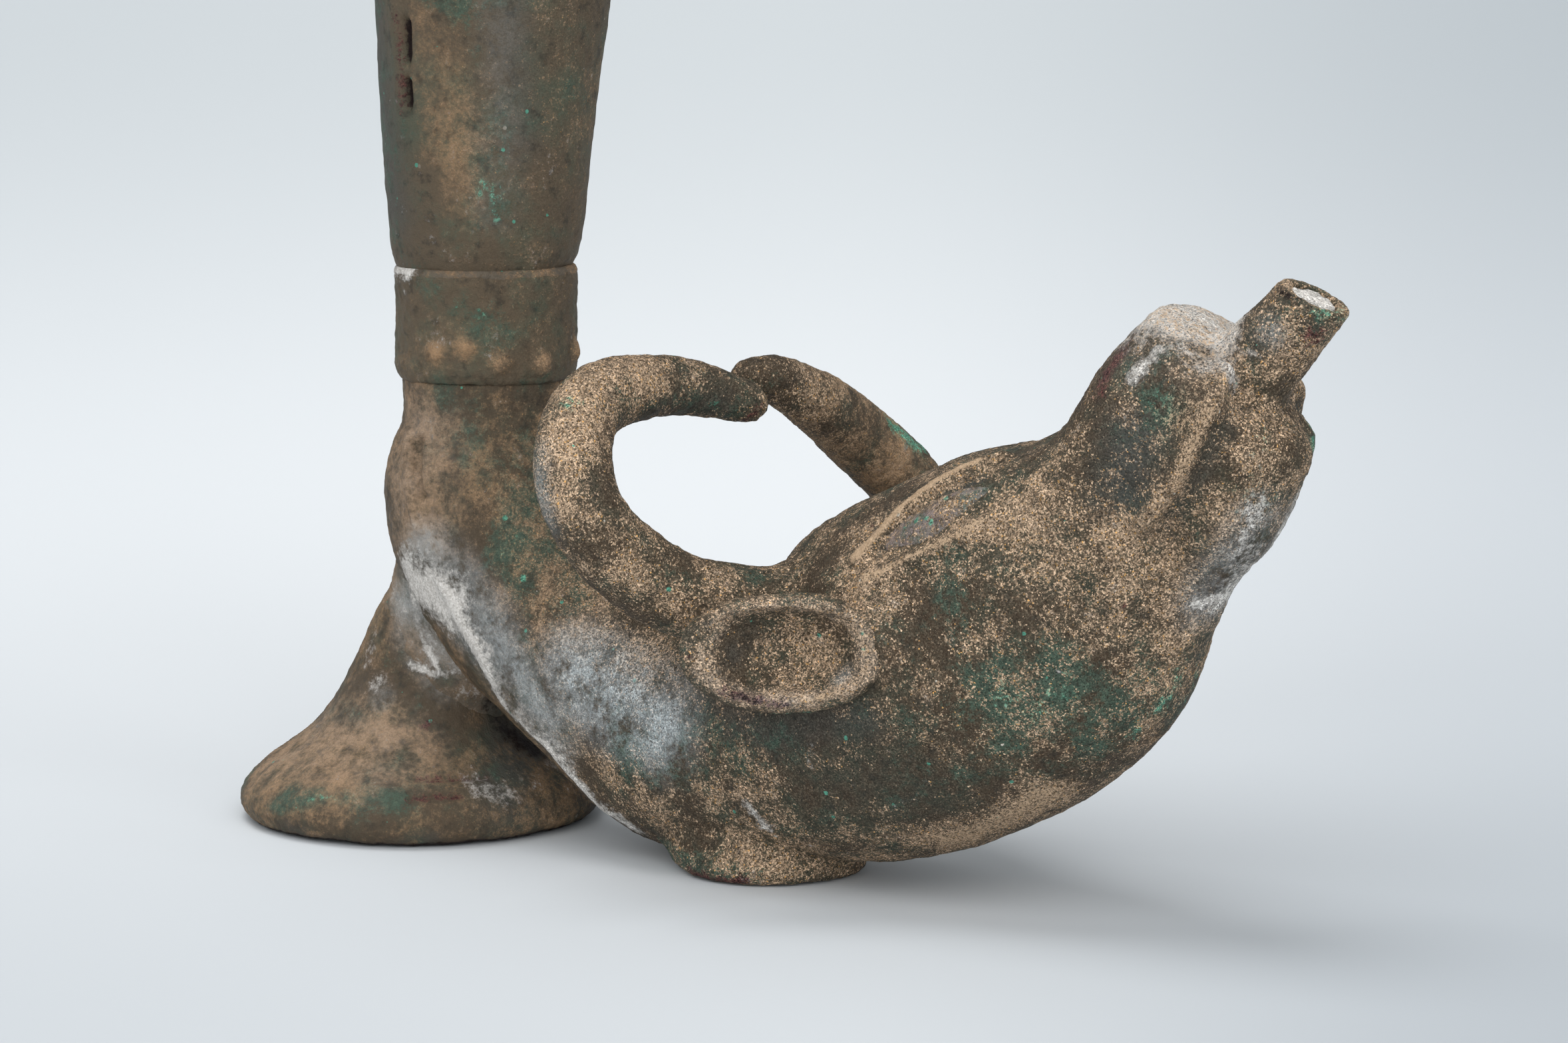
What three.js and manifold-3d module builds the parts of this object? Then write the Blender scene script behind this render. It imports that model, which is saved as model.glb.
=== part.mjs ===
// Bronze rhyton: a flaring beaker is joined by a collar to a bent neck, which ends in a horned bull's head
// with a pouring spout held in its mouth. It stands on a trumpet foot behind and a low pad in front.
// Millimetres, +Z up, +X towards the muzzle, +Y to the animal's left, origin under the middle of the pad.

import * as THREE from "three";
import { mergeVertices } from "three/addons/utils/BufferGeometryUtils.js";
import Module from "manifold-3d";

const wasm = await Module();
wasm.setup();

// Every soldered or inlaid seat keeps this clearance, which solder or pitch fills on the real vessel.
const SEAT_GAP = 0.3;

// Neck and head: two hollow castings swept through the same stations, from the collar to the muzzle.
// A station has its place in the mirror plane, and its half sizes towards the brow, the throat and the sides.
const CAST_WALL = 2.2;
const NECK_RADIUS = 13.1;
const NECK_STRAIGHT = 6.5;
const NECK_TOP = { x: -54.8, z: 71 };
const MUZZLE_REACH = 77;
const MUZZLE_RISE = 79.5;
const neckRound = { brow: NECK_RADIUS, throat: NECK_RADIUS, side: NECK_RADIUS };
const BODY_STATIONS = [
  { x: NECK_TOP.x, z: NECK_TOP.z, ...neckRound },
  { x: NECK_TOP.x, z: NECK_TOP.z - NECK_STRAIGHT, ...neckRound },
  { x: -53.6, z: 55, brow: 14.8, throat: 18.8, side: 16 },
  { x: -46.5, z: 42, brow: 16, throat: 20.2, side: 16.2 },
  { x: -32.5, z: 30.5, brow: 16.5, throat: 18.5, side: 16.5 },
  { x: -15.5, z: 23.5, brow: 17, throat: 22.4, side: 17.5 },
  { x: 3, z: 22, brow: 19.8, throat: 19.6, side: 19 },
  { x: 20.5, z: 27.5, brow: 26.8, throat: 24.2, side: 21 },
  { x: 36, z: 38.5, brow: 25.6, throat: 28.7, side: 22.5 },
  { x: MUZZLE_REACH - 27, z: MUZZLE_RISE - 28, brow: 19.7, throat: 28.4, side: 20.5 },
  { x: MUZZLE_REACH - 16, z: MUZZLE_RISE - 17, brow: 10.8, throat: 20, side: 17 },
  { x: MUZZLE_REACH - 6.5, z: MUZZLE_RISE - 7, brow: 13, throat: 19.8, side: 16.2 },
  { x: MUZZLE_REACH, z: MUZZLE_RISE, brow: 13.2, throat: 18, side: 13 },
];
const MUZZLE_DOME = 4;
const MUZZLE_FLOOR = 3.5;

// The neck's forward end laps inside the head.
const NECK_JOINT_STATION = 5.6;
const NECK_LAP_LENGTH = 6;
const NECK_LAP_WALL = 1.6;

// Collar: a sleeve over two spigots, the neck's from below and the beaker's from above, with a land between.
const NECK_SHOULDER = 1.3;
const SPIGOT_WALL = 1.6;
const COLLAR_HEIGHT = 16;
const COLLAR_WALL = 1.8;
const COLLAR_SPREAD = 0.5;
const COLLAR_LAND = 3;
const SEAM_HEIGHT = 0.6;

// Beaker: leans a little towards the head, tapers evenly for most of its height and then flares to its lip.
const BEAKER_HEIGHT = 163;
const BEAKER_LEAN_DEG = 2.3;
const BEAKER_WALL = 1.8;
const BEAKER_LEDGE = 0.3;
const BEAKER_TAPER_DEG = 4.8;
const BEAKER_FLARE = 7.5;
const BEAKER_FLARE_POWER = 5;

// Spout: a short tapered pipe in the mouth, set below the middle of the muzzle and choked by a plug of lime.
const SPOUT_DROP = 2.9;
const SPOUT_LENGTH = 12.8;
const SPOUT_SOCKET_DEPTH = 4;
const SPOUT_BASE_RADIUS = 6.5;
const SPOUT_TIP_RADIUS = 4.9;
const SPOUT_TIP_WALL = 1.6;
const PLUG_LENGTH = 5;

// Horns: tapered rods tenoned into the crown, which sweep out, back and in again until their tips cross.
// Each one was bent by hand, so the two paths differ. They are listed from the root outwards.
const HORN_STATION = 6.95;
const HORN_ANGLE_DEG = 46;
const HORN_ROOT_RADIUS = 6.5;
const HORN_MIDDLE_RADIUS = 5.8;
const HORN_TIP_RADIUS = 2.6;
const HORN_TENON_RADIUS = 3.2;
const RIGHT_HORN_PATH = [
  [1, -26, 45.4],
  [-6.4, -37.3, 58.5],
  [-10.7, -31.1, 71],
  [-9.5, -16, 73.6],
  [-6, -6, 71.8],
  [-3.4, -1.5, 70.2],
];
const LEFT_HORN_PATH = [
  [7, 28.7, 45.5],
  [-0.2, 37.1, 53],
  [-3.9, 29.5, 61.2],
  [-4.4, 16.5, 68.6],
  [-5.6, 7.2, 71.9],
  [-6.4, 3.9, 71.8],
];

// Ears: spoon-shaped cups that lie back along the cheeks, hollow face forward, each pinned by a tenon.
const EAR_STATION = 7.85;
const EAR_ANGLE_DEG = 7;
const EAR_SWEEP = { back: 0.88, out: 0.47, down: 0.04 };
const EAR_LENGTH = 30.5;
const EAR_WIDTH = 17.2;
const EAR_THICKNESS = 8;
const EAR_RIM = 3;
const EAR_CUP_DEPTH = 3;
const EAR_SEAT_DEPTH = 4.5;
const EAR_TENON_RADIUS = 1.8;

// Eyes: almond inlays bedded in shallow pockets of the head's wall.
const EYE_STATION = 8.9;
const EYE_ANGLE_DEG = 35;
const EYE_LENGTH = 19.5;
const EYE_WIDTH = 7;
const EYE_BULGE = 1.1;
const EYE_POCKET_FLOOR = 0.8;

// Rear foot: a hollow trumpet that leans into the bend of the neck. Its rings lie level, and each one's flare
// is a share of the way from the stem's radius to the foot's.
const REAR_FOOT_WALL = 3;
const REAR_FOOT_REACH = 69.2;
const REAR_FOOT_RADIUS = 28.9;
const REAR_FOOT_STEM_RADIUS = 9.2;
const REAR_FOOT_STATIONS = [
  { z: 0, lean: 0, flare: 0.9 },
  { z: 1.5, lean: 0, flare: 0.975 },
  { z: 3.5, lean: 0, flare: 1 },
  { z: 6, lean: 0.1, flare: 0.95 },
  { z: 9, lean: 0.2, flare: 0.796 },
  { z: 12, lean: 0.4, flare: 0.555 },
  { z: 16, lean: 0.7, flare: 0.335 },
  { z: 22, lean: 1.3, flare: 0.173 },
  { z: 30, lean: 3.2, flare: 0.073 },
  { z: 38, lean: 6.7, flare: 0.021 },
];
const REAR_FOOT_TOP_STATION = 2.7;

// Front foot: a low pad under the throat, whose rear side runs out into a heel below the neck.
const FRONT_FOOT_RADIUS = 14.6;
const FRONT_FOOT_HEEL = 5;
const FRONT_FOOT_HEIGHT = 7;
const FRONT_FOOT_ROUND = 1.6;

// Solder fillet round the top of the rear foot.
const FILLET_OUT = 2.6;
const FILLET_UP = 3.2;

const LATHE_SIDES = 32;
const BEAKER_RINGS = 9;
const BODY_SIDES = 24;
const RINGS_PER_STATION = 3;
const EAR_SIDES = 20;
const EYE_SIDES = 16;
const HORN_SIDES = 12;
const HORN_RINGS = 26;
const DOME_STEPS_DEG = [30, 52, 70, 82];
const SLOPE_STEP = 0.02;

const bronze = { color: 0x6b5f4c, roughness: 0.75, metalness: 0.55 };
const greenBronze = { color: 0x55665a, roughness: 0.75, metalness: 0.5 };
const solder = { color: 0xb9b4ab, roughness: 0.85, metalness: 0.3 };
const lime = { color: 0xe6e1d6, roughness: 0.95, metalness: 0 };
const eyeInlay = { color: 0x6a5f66, roughness: 0.7, metalness: 0.4 };

const radians = THREE.MathUtils.degToRad;
const rhyton = new THREE.Group();

// A closed mesh becomes a solid that can be cut and joined, and a solid becomes a named piece.
function solidOf(geometry) {
  const bare = geometry.clone();
  bare.deleteAttribute("normal");
  bare.deleteAttribute("uv");
  const merged = mergeVertices(bare);
  return new wasm.Manifold(
    new wasm.Mesh({
      numProp: 3,
      vertProperties: new Float32Array(merged.attributes.position.array),
      triVerts: new Uint32Array(merged.index.array),
    }),
  );
}

function addPiece(name, solid, finish) {
  const { vertProperties, triVerts } = solid.getMesh();
  const geometry = new THREE.BufferGeometry();
  geometry.setAttribute("position", new THREE.BufferAttribute(vertProperties, 3));
  geometry.setIndex(new THREE.BufferAttribute(triVerts, 1));
  geometry.computeVertexNormals();
  const mesh = new THREE.Mesh(geometry, new THREE.MeshStandardMaterial(finish));
  mesh.name = name;
  rhyton.add(mesh);
}

// A closed skin over rings of points, each ring running right-handed round the direction of travel.
function ringSolid(rings) {
  const count = rings[0].length;
  const last = (rings.length - 1) * count;
  const middle = (ring) => ring.reduce((sum, p) => sum.add(p), new THREE.Vector3()).divideScalar(count);
  const corners = [...rings.flat(), middle(rings[0]), middle(rings[rings.length - 1])];
  const faces = [];
  for (let k = 0; k < count; k++) {
    const next = (k + 1) % count;
    for (let ring = 0; ring < last; ring += count) {
      faces.push(ring + k, ring + next, ring + count + next, ring + k, ring + count + next, ring + count + k);
    }
    faces.push(last + count, next, k, last + count + 1, last + k, last + next);
  }
  return solidOf(new THREE.BufferGeometry().setFromPoints(corners).setIndex(faces));
}

// A turned piece: the profile is a closed outline of [radius, height] pairs, anticlockwise.
function turned(profile) {
  const outline = [...profile, profile[0]].map(([r, z]) => new THREE.Vector2(r, z));
  return new THREE.LatheGeometry(outline, LATHE_SIDES).rotateX(Math.PI / 2);
}

function circle(centre, right, up, radius, sides) {
  return Array.from({ length: sides }, (_, k) => {
    const angle = (k / sides) * 2 * Math.PI;
    const across = right.clone().multiplyScalar(radius * Math.cos(angle));
    return across.addScaledVector(up, radius * Math.sin(angle)).add(centre);
  });
}

// A round bar between two points, which may taper.
function rod(from, to, fromRadius, toRadius = fromRadius) {
  const length = from.distanceTo(to);
  const direction = to.clone().sub(from).divideScalar(length);
  const cylinder = new THREE.CylinderGeometry(toRadius, fromRadius, length, LATHE_SIDES / 2);
  const turn = new THREE.Quaternion().setFromUnitVectors(new THREE.Vector3(0, 1, 0), direction);
  const middle = from.clone().lerp(to, 0.5);
  return solidOf(cylinder.applyQuaternion(turn).translate(...middle));
}

// An ellipsoid with half sizes along, across and through, at a place and in a frame of three unit vectors.
function ellipsoid(centre, [along, across, through], [halfLength, halfWidth, halfThickness], sides) {
  const place = new THREE.Matrix4().makeBasis(along, across, through).setPosition(centre);
  const size = new THREE.Matrix4().makeScale(halfLength, halfWidth, halfThickness);
  return solidOf(new THREE.SphereGeometry(1, sides, sides / 2).applyMatrix4(size).applyMatrix4(place));
}

// The swept castings: a spine through the stations, and half sizes that follow the same steps.
const muzzleStation = BODY_STATIONS.length - 1;
const throughPoints = (points) => new THREE.CatmullRomCurve3(points, false, "catmullrom");
const spine = throughPoints(BODY_STATIONS.map((s) => new THREE.Vector3(s.x, 0, s.z)));
const girth = throughPoints(BODY_STATIONS.map((s) => new THREE.Vector3(s.brow, s.throat, s.side)));

function bodyFrame(station) {
  const t = station / muzzleStation;
  const along = spine.getTangent(t);
  const brow = new THREE.Vector3(-along.z, 0, along.x);
  return { at: spine.getPoint(t), along, brow, size: girth.getPoint(t) };
}

// A point of the skin: angle 0 is the animal's left, 90 degrees the brow. Grow moves the skin outwards.
function bodyPoint(station, angle, grow = 0, shrink = 1) {
  const { at, brow, size } = bodyFrame(station);
  const lift = Math.sin(angle) * ((Math.sin(angle) > 0 ? size.x : size.y) + grow) * shrink;
  const out = Math.cos(angle) * (size.z + grow) * shrink;
  return at.addScaledVector(brow, lift).add(new THREE.Vector3(0, out, 0));
}

function bodyNormal(station, angle) {
  const round = bodyPoint(station, angle + SLOPE_STEP).sub(bodyPoint(station, angle - SLOPE_STEP));
  const along = bodyPoint(station + SLOPE_STEP, angle).sub(bodyPoint(station - SLOPE_STEP, angle));
  return round.cross(along).normalize();
}

function bodyRing(station, grow, shift = 0, shrink = 1) {
  const { along } = bodyFrame(station);
  const angles = Array.from({ length: BODY_SIDES }, (_, k) => (k / BODY_SIDES) * 2 * Math.PI);
  return angles.map((angle) => bodyPoint(station, angle, grow, shrink).addScaledVector(along, shift));
}

// The station that lies a length further along the spine.
function stationAfter(station, length) {
  const step = length < 0 ? -SLOPE_STEP : SLOPE_STEP;
  const stride = bodyFrame(station).at.distanceTo(bodyFrame(station + step).at);
  return station + (Math.abs(length) / stride) * step;
}

// The rings between two stations fall on the same steps for every sweep. Lead and tail run on straight.
function bodyRings(from, to, grow, lead = 0, tail = 0) {
  const rings = lead > 0 ? [bodyRing(from, grow, -lead), bodyRing(from, grow)] : [bodyRing(from, grow)];
  for (let i = Math.floor(from * RINGS_PER_STATION) + 1; i < to * RINGS_PER_STATION; i++) {
    rings.push(bodyRing(i / RINGS_PER_STATION, grow));
  }
  rings.push(bodyRing(to, grow));
  return tail > 0 ? [...rings, bodyRing(to, grow, tail)] : rings;
}

// The muzzle closes in a low dome.
function muzzleRings(grow) {
  return DOME_STEPS_DEG.map((deg) => {
    const rise = Math.sin(radians(deg)) * (MUZZLE_DOME + grow);
    return bodyRing(muzzleStation, grow, rise, Math.cos(radians(deg)));
  });
}

const wholeBody = (grow) => ringSolid([...bodyRings(0, muzzleStation, grow), ...muzzleRings(grow)]);
const grownBody = wholeBody(SEAT_GAP);

// Collar, beaker and neck share one bore.
const spigotRadius = NECK_RADIUS - NECK_SHOULDER;
const boreRadius = spigotRadius - SPIGOT_WALL;
const socketRadius = spigotRadius + SEAT_GAP;
const collarRadius = socketRadius + COLLAR_WALL + COLLAR_SPREAD;
const spigotLength = (COLLAR_HEIGHT - COLLAR_LAND) / 2 - SEAT_GAP;
const collarFoot = NECK_TOP.z + SEAT_GAP;
const collarTop = collarFoot + COLLAR_HEIGHT;
const landLow = collarFoot + (COLLAR_HEIGHT - COLLAR_LAND) / 2;
const landHigh = landLow + COLLAR_LAND;

const collar = turned([
  [socketRadius, collarFoot],
  [collarRadius - COLLAR_SPREAD, collarFoot],
  [collarRadius, collarTop],
  [socketRadius, collarTop],
  [socketRadius, landHigh],
  [boreRadius, landHigh],
  [boreRadius, landLow],
  [socketRadius, landLow],
]).translate(NECK_TOP.x, 0, 0);
addPiece("collar", solidOf(collar), greenBronze);

// Solder line between the collar and the beaker's foot.
const beakerSeat = collarTop + SEAM_HEIGHT;
const seam = turned([
  [socketRadius, collarTop],
  [collarRadius, collarTop],
  [collarRadius, beakerSeat],
  [socketRadius, beakerSeat],
]).translate(NECK_TOP.x, 0, 0);
addPiece("collar_seam", solidOf(seam), solder);

// Beaker: the outline runs up the outside, over the lip and down the inside to the spigot's bore.
const beakerFootRadius = collarRadius + BEAKER_LEDGE;
const beakerFlare = (h) => BEAKER_FLARE * (h / BEAKER_HEIGHT) ** BEAKER_FLARE_POWER;
const beakerRadius = (h) => beakerFootRadius + h * Math.tan(radians(BEAKER_TAPER_DEG)) + beakerFlare(h);
const beakerSteps = Array.from({ length: BEAKER_RINGS + 1 }, (_, i) => (i / BEAKER_RINGS) * BEAKER_HEIGHT);
const beakerInside = (h) => [beakerRadius(h) - BEAKER_WALL, beakerSeat + h];
const beakerGeometry = turned([
  [boreRadius, beakerSeat - spigotLength],
  [spigotRadius, beakerSeat - spigotLength],
  [spigotRadius, beakerSeat],
  ...beakerSteps.map((h) => [beakerRadius(h), beakerSeat + h]),
  ...beakerSteps.slice(1).reverse().map(beakerInside),
  beakerInside(2 * BEAKER_WALL),
  [boreRadius, beakerSeat + BEAKER_WALL],
]);
const beakerPoints = beakerGeometry.attributes.position;
for (let i = 0; i < beakerPoints.count; i++) {
  const rise = Math.max(0, beakerPoints.getZ(i) - beakerSeat);
  beakerPoints.setX(i, beakerPoints.getX(i) + NECK_TOP.x + rise * Math.tan(radians(BEAKER_LEAN_DEG)));
}
addPiece("beaker", solidOf(beakerGeometry), greenBronze);

// Neck: the bend from the collar to the head, with a spigot above and a lap in front.
const lapEnd = stationAfter(NECK_JOINT_STATION, NECK_LAP_LENGTH);
const lapStart = stationAfter(NECK_JOINT_STATION, -NECK_LAP_LENGTH);
const lapGrow = -CAST_WALL - SEAT_GAP;
const spigot = turned([
  [0, NECK_TOP.z - SPIGOT_WALL],
  [spigotRadius, NECK_TOP.z - SPIGOT_WALL],
  [spigotRadius, NECK_TOP.z + spigotLength],
  [0, NECK_TOP.z + spigotLength],
]).translate(NECK_TOP.x, 0, 0);
const boreBottom = new THREE.Vector3(NECK_TOP.x, 0, NECK_TOP.z - 2 * SPIGOT_WALL);
const boreTop = new THREE.Vector3(NECK_TOP.x, 0, collarTop);
const neckInside = ringSolid(bodyRings(stationAfter(0, SPIGOT_WALL), lapStart, -CAST_WALL))
  .add(ringSolid(bodyRings(lapStart, lapEnd, lapGrow - NECK_LAP_WALL, CAST_WALL, NECK_LAP_LENGTH)))
  .add(rod(boreBottom, boreTop, boreRadius));
const neck = ringSolid(bodyRings(0, NECK_JOINT_STATION, 0))
  .add(ringSolid(bodyRings(lapStart, lapEnd, lapGrow)))
  .add(solidOf(spigot))
  .subtract(neckInside);
addPiece("neck", neck, bronze);

// A seat on the head's skin, on its right (-1) or left (+1) side. Its axis stands square to the skin.
function headSeat(station, deg, side) {
  const angle = side > 0 ? radians(deg) : Math.PI - radians(deg);
  const skin = bodyPoint(station, angle);
  const normal = bodyNormal(station, angle);
  return { normal, at: (height) => skin.clone().addScaledVector(normal, height) };
}

// Horns: the root leaves the skin squarely and is cut to it, and a tenon goes on through the head's wall.
// The radius eases from root to middle, then falls away faster and faster to the domed tip.
function hornRadius(u) {
  if (u < 0.5) return THREE.MathUtils.lerp(HORN_ROOT_RADIUS, HORN_MIDDLE_RADIUS, 2 * u);
  return THREE.MathUtils.lerp(HORN_MIDDLE_RADIUS, HORN_TIP_RADIUS, (2 * u - 1) ** 2);
}

function hornRod(seat, path, grow) {
  const root = seat.at(-HORN_ROOT_RADIUS);
  const bends = path.map((p) => new THREE.Vector3(...p));
  const curve = new THREE.CatmullRomCurve3([root, ...bends], false, "centripetal");
  const { normals, binormals } = curve.computeFrenetFrames(HORN_RINGS);
  const ring = (i, centre, radius) => circle(centre, normals[i], binormals[i], radius, HORN_SIDES);
  const rings = normals.map((_, i) => {
    const u = i / HORN_RINGS;
    return ring(i, curve.getPointAt(u), hornRadius(u) + grow);
  });
  for (const angle of DOME_STEPS_DEG.map(radians)) {
    const radius = HORN_TIP_RADIUS + grow;
    const onward = curve.getTangentAt(1).multiplyScalar(radius * Math.sin(angle));
    rings.push(ring(HORN_RINGS, onward.add(curve.getPointAt(1)), radius * Math.cos(angle)));
  }
  return ringSolid(rings);
}

function hornSolid(seat, path) {
  const tenon = rod(seat.at(-CAST_WALL), seat.at(HORN_TENON_RADIUS), HORN_TENON_RADIUS);
  return hornRod(seat, path, 0).subtract(grownBody).add(tenon);
}

// Ears: an egg-shaped blank, hollowed on its forward face and cut to the cheek.
function earSolid(seat, side) {
  const along = new THREE.Vector3(-EAR_SWEEP.back, side * EAR_SWEEP.out, -EAR_SWEEP.down).normalize();
  const across = new THREE.Vector3(0, 0, side).projectOnPlane(along).normalize();
  const forward = along.clone().cross(across);
  const centre = seat.at(0).addScaledVector(along, EAR_LENGTH / 2 - EAR_SEAT_DEPTH);
  const cupCentre = centre.clone().addScaledVector(forward, EAR_THICKNESS / 2);
  const axes = [along, across, forward];
  const blankSize = [EAR_LENGTH / 2, EAR_WIDTH / 2, EAR_THICKNESS / 2];
  const cupSize = [EAR_LENGTH / 2 - EAR_RIM, EAR_WIDTH / 2 - EAR_RIM, EAR_CUP_DEPTH];
  const tenon = rod(seat.at(-CAST_WALL), seat.at(EAR_TENON_RADIUS), EAR_TENON_RADIUS);
  return ellipsoid(centre, axes, blankSize, EAR_SIDES)
    .subtract(ellipsoid(cupCentre, axes, cupSize, EAR_SIDES))
    .subtract(grownBody)
    .add(tenon);
}

// Eyes: each almond is sunk until the pocket's floor is left of the wall.
function eyeSolid(seat, grow) {
  const sunk = CAST_WALL - EYE_POCKET_FLOOR - SEAT_GAP;
  const across = seat.normal.clone().cross(bodyFrame(EYE_STATION).along).normalize();
  const axes = [across.clone().cross(seat.normal), across, seat.normal];
  const size = [EYE_LENGTH / 2 + grow, EYE_WIDTH / 2 + grow, (EYE_BULGE + sunk) / 2 + grow];
  return ellipsoid(seat.at((EYE_BULGE - sunk) / 2), axes, size, EYE_SIDES);
}

// Spout: seated on a ledge inside the muzzle, below the spine's axis. Heights run from the muzzle's dome.
const muzzle = bodyFrame(muzzleStation);
const spoutBase = muzzle.at.clone().addScaledVector(muzzle.brow, -SPOUT_DROP);
const spoutAt = (height) => spoutBase.clone().addScaledVector(muzzle.along, MUZZLE_DOME + height);
const spoutBoreRadius = SPOUT_TIP_RADIUS - SPOUT_TIP_WALL;
const spoutFoot = spoutAt(-SPOUT_SOCKET_DEPTH);
const spoutEnd = spoutAt(SPOUT_LENGTH);
const spoutLedge = spoutAt(-SPOUT_SOCKET_DEPTH - SEAT_GAP);
const spoutInside = spoutAt(-MUZZLE_DOME - MUZZLE_FLOOR - CAST_WALL);
const beyondSpout = spoutAt(SPOUT_LENGTH + SEAT_GAP);
const spoutPipe = rod(spoutFoot, spoutEnd, SPOUT_BASE_RADIUS, SPOUT_TIP_RADIUS);
const spoutBore = rod(spoutInside, beyondSpout, spoutBoreRadius);
const spoutSocket = rod(spoutLedge, beyondSpout, SPOUT_BASE_RADIUS + SEAT_GAP);
const plug = rod(spoutAt(SPOUT_LENGTH - PLUG_LENGTH), spoutEnd, spoutBoreRadius - SEAT_GAP);
addPiece("spout", spoutPipe.subtract(spoutBore), bronze);
addPiece("spout_plug", plug, lime);

// Head: hollow up to the muzzle, open behind for the neck's lap, with seats for all that it carries.
const headStart = stationAfter(NECK_JOINT_STATION, SEAT_GAP);
const headInsideEnd = stationAfter(muzzleStation, -MUZZLE_FLOOR);
let head = ringSolid([...bodyRings(headStart, muzzleStation, 0), ...muzzleRings(0)])
  .subtract(ringSolid(bodyRings(headStart, headInsideEnd, -CAST_WALL, NECK_LAP_LENGTH)))
  .subtract(spoutSocket)
  .subtract(spoutBore);
const socket = (seat, radius) => rod(seat.at(-2 * CAST_WALL), seat.at(CAST_WALL), radius + SEAT_GAP);
for (const [hand, side, path] of [["right", -1, RIGHT_HORN_PATH], ["left", 1, LEFT_HORN_PATH]]) {
  const hornSeat = headSeat(HORN_STATION, HORN_ANGLE_DEG, side);
  const earSeat = headSeat(EAR_STATION, EAR_ANGLE_DEG, side);
  const eyeSeat = headSeat(EYE_STATION, EYE_ANGLE_DEG, side);
  addPiece(`${hand}_horn`, hornSolid(hornSeat, path), bronze);
  const hornClearance = hornRod(hornSeat, path, SEAT_GAP);
  addPiece(`${hand}_ear`, earSolid(earSeat, side).subtract(hornClearance), bronze);
  addPiece(`${hand}_eye`, eyeSolid(eyeSeat, 0), eyeInlay);
  head = head
    .subtract(socket(hornSeat, HORN_TENON_RADIUS))
    .subtract(socket(earSeat, EAR_TENON_RADIUS))
    .subtract(eyeSolid(eyeSeat, SEAT_GAP));
}
addPiece("head", head, bronze);

// Rear foot: open below, and cut above to the underside of the neck, which its last ring lies inside.
const footTop = bodyFrame(REAR_FOOT_TOP_STATION).at;
const footStations = REAR_FOOT_STATIONS.map(({ z, lean, flare }) => ({
  z,
  x: lean - REAR_FOOT_REACH,
  r: THREE.MathUtils.lerp(REAR_FOOT_STEM_RADIUS, REAR_FOOT_RADIUS, flare),
}));
footStations.push({ z: footTop.z, x: footTop.x, r: REAR_FOOT_STEM_RADIUS });
const ahead = new THREE.Vector3(1, 0, 0);
const leftward = new THREE.Vector3(0, 1, 0);
function footRing({ x, z, r }, grow) {
  return circle(new THREE.Vector3(x, 0, z), ahead, leftward, r + grow, LATHE_SIDES);
}
const footRings = (grow) => footStations.map((station) => footRing(station, grow));
const footMouth = footRing({ ...footStations[0], z: -REAR_FOOT_WALL }, -REAR_FOOT_WALL);
const rearFoot = ringSolid(footRings(0))
  .subtract(ringSolid([footMouth, ...footRings(-REAR_FOOT_WALL)]))
  .subtract(grownBody);
addPiece("rear_foot", rearFoot, bronze);

// Solder fillet: what lies close to both the foot and the neck, clear of each.
const fillet = ringSolid(footRings(FILLET_OUT))
  .intersect(wholeBody(FILLET_UP))
  .subtract(ringSolid(footRings(SEAT_GAP)))
  .subtract(grownBody);
addPiece("rear_foot_solder", fillet, solder);

// Front foot: a pad with rounded edges, cut above to the underside of the throat.
const pad = turned([
  [0, 0],
  [FRONT_FOOT_RADIUS - FRONT_FOOT_ROUND / 2, 0],
  [FRONT_FOOT_RADIUS, FRONT_FOOT_ROUND],
  [FRONT_FOOT_RADIUS, FRONT_FOOT_HEIGHT - FRONT_FOOT_ROUND],
  [FRONT_FOOT_RADIUS - FRONT_FOOT_ROUND, FRONT_FOOT_HEIGHT],
  [0, FRONT_FOOT_HEIGHT],
]);
const padPoints = pad.attributes.position;
for (let i = 0; i < padPoints.count; i++) {
  const rearward = Math.min(0, padPoints.getX(i)) / FRONT_FOOT_RADIUS;
  const heel = (FRONT_FOOT_HEEL * padPoints.getZ(i)) / FRONT_FOOT_HEIGHT;
  padPoints.setX(i, padPoints.getX(i) + rearward * heel);
}
addPiece("front_foot", solidOf(pad).subtract(grownBody), bronze);

export default rhyton;
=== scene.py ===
import math

import bmesh
import bpy
import numpy as np
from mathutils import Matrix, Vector
from mathutils.bvhtree import BVHTree


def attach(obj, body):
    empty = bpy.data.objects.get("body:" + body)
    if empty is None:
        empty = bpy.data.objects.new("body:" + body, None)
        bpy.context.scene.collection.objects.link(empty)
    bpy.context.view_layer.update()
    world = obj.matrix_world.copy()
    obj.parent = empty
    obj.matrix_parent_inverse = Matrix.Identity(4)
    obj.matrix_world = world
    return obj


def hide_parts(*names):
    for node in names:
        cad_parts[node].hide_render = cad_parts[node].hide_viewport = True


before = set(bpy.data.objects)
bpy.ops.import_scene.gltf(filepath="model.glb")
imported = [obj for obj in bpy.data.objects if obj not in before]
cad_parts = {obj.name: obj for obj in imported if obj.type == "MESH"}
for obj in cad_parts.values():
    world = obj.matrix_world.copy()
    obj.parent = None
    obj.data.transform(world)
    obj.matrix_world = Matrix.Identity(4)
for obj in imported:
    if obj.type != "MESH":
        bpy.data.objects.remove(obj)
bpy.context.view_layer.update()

# Photo table: a wide sheet of pale grey paper under one large soft lamp overhead, in a pale room with three
# weak panels. The camera stands off the muzzle's right side and looks down a little.
MM = 0.001
CAMERA_PLACE = (378.5, -517.8, 142.6)
CAMERA_AZIMUTH = 36
CAMERA_TILT = 8
CAMERA_LENS = 100
CAMERA_SENSOR = 36
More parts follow.
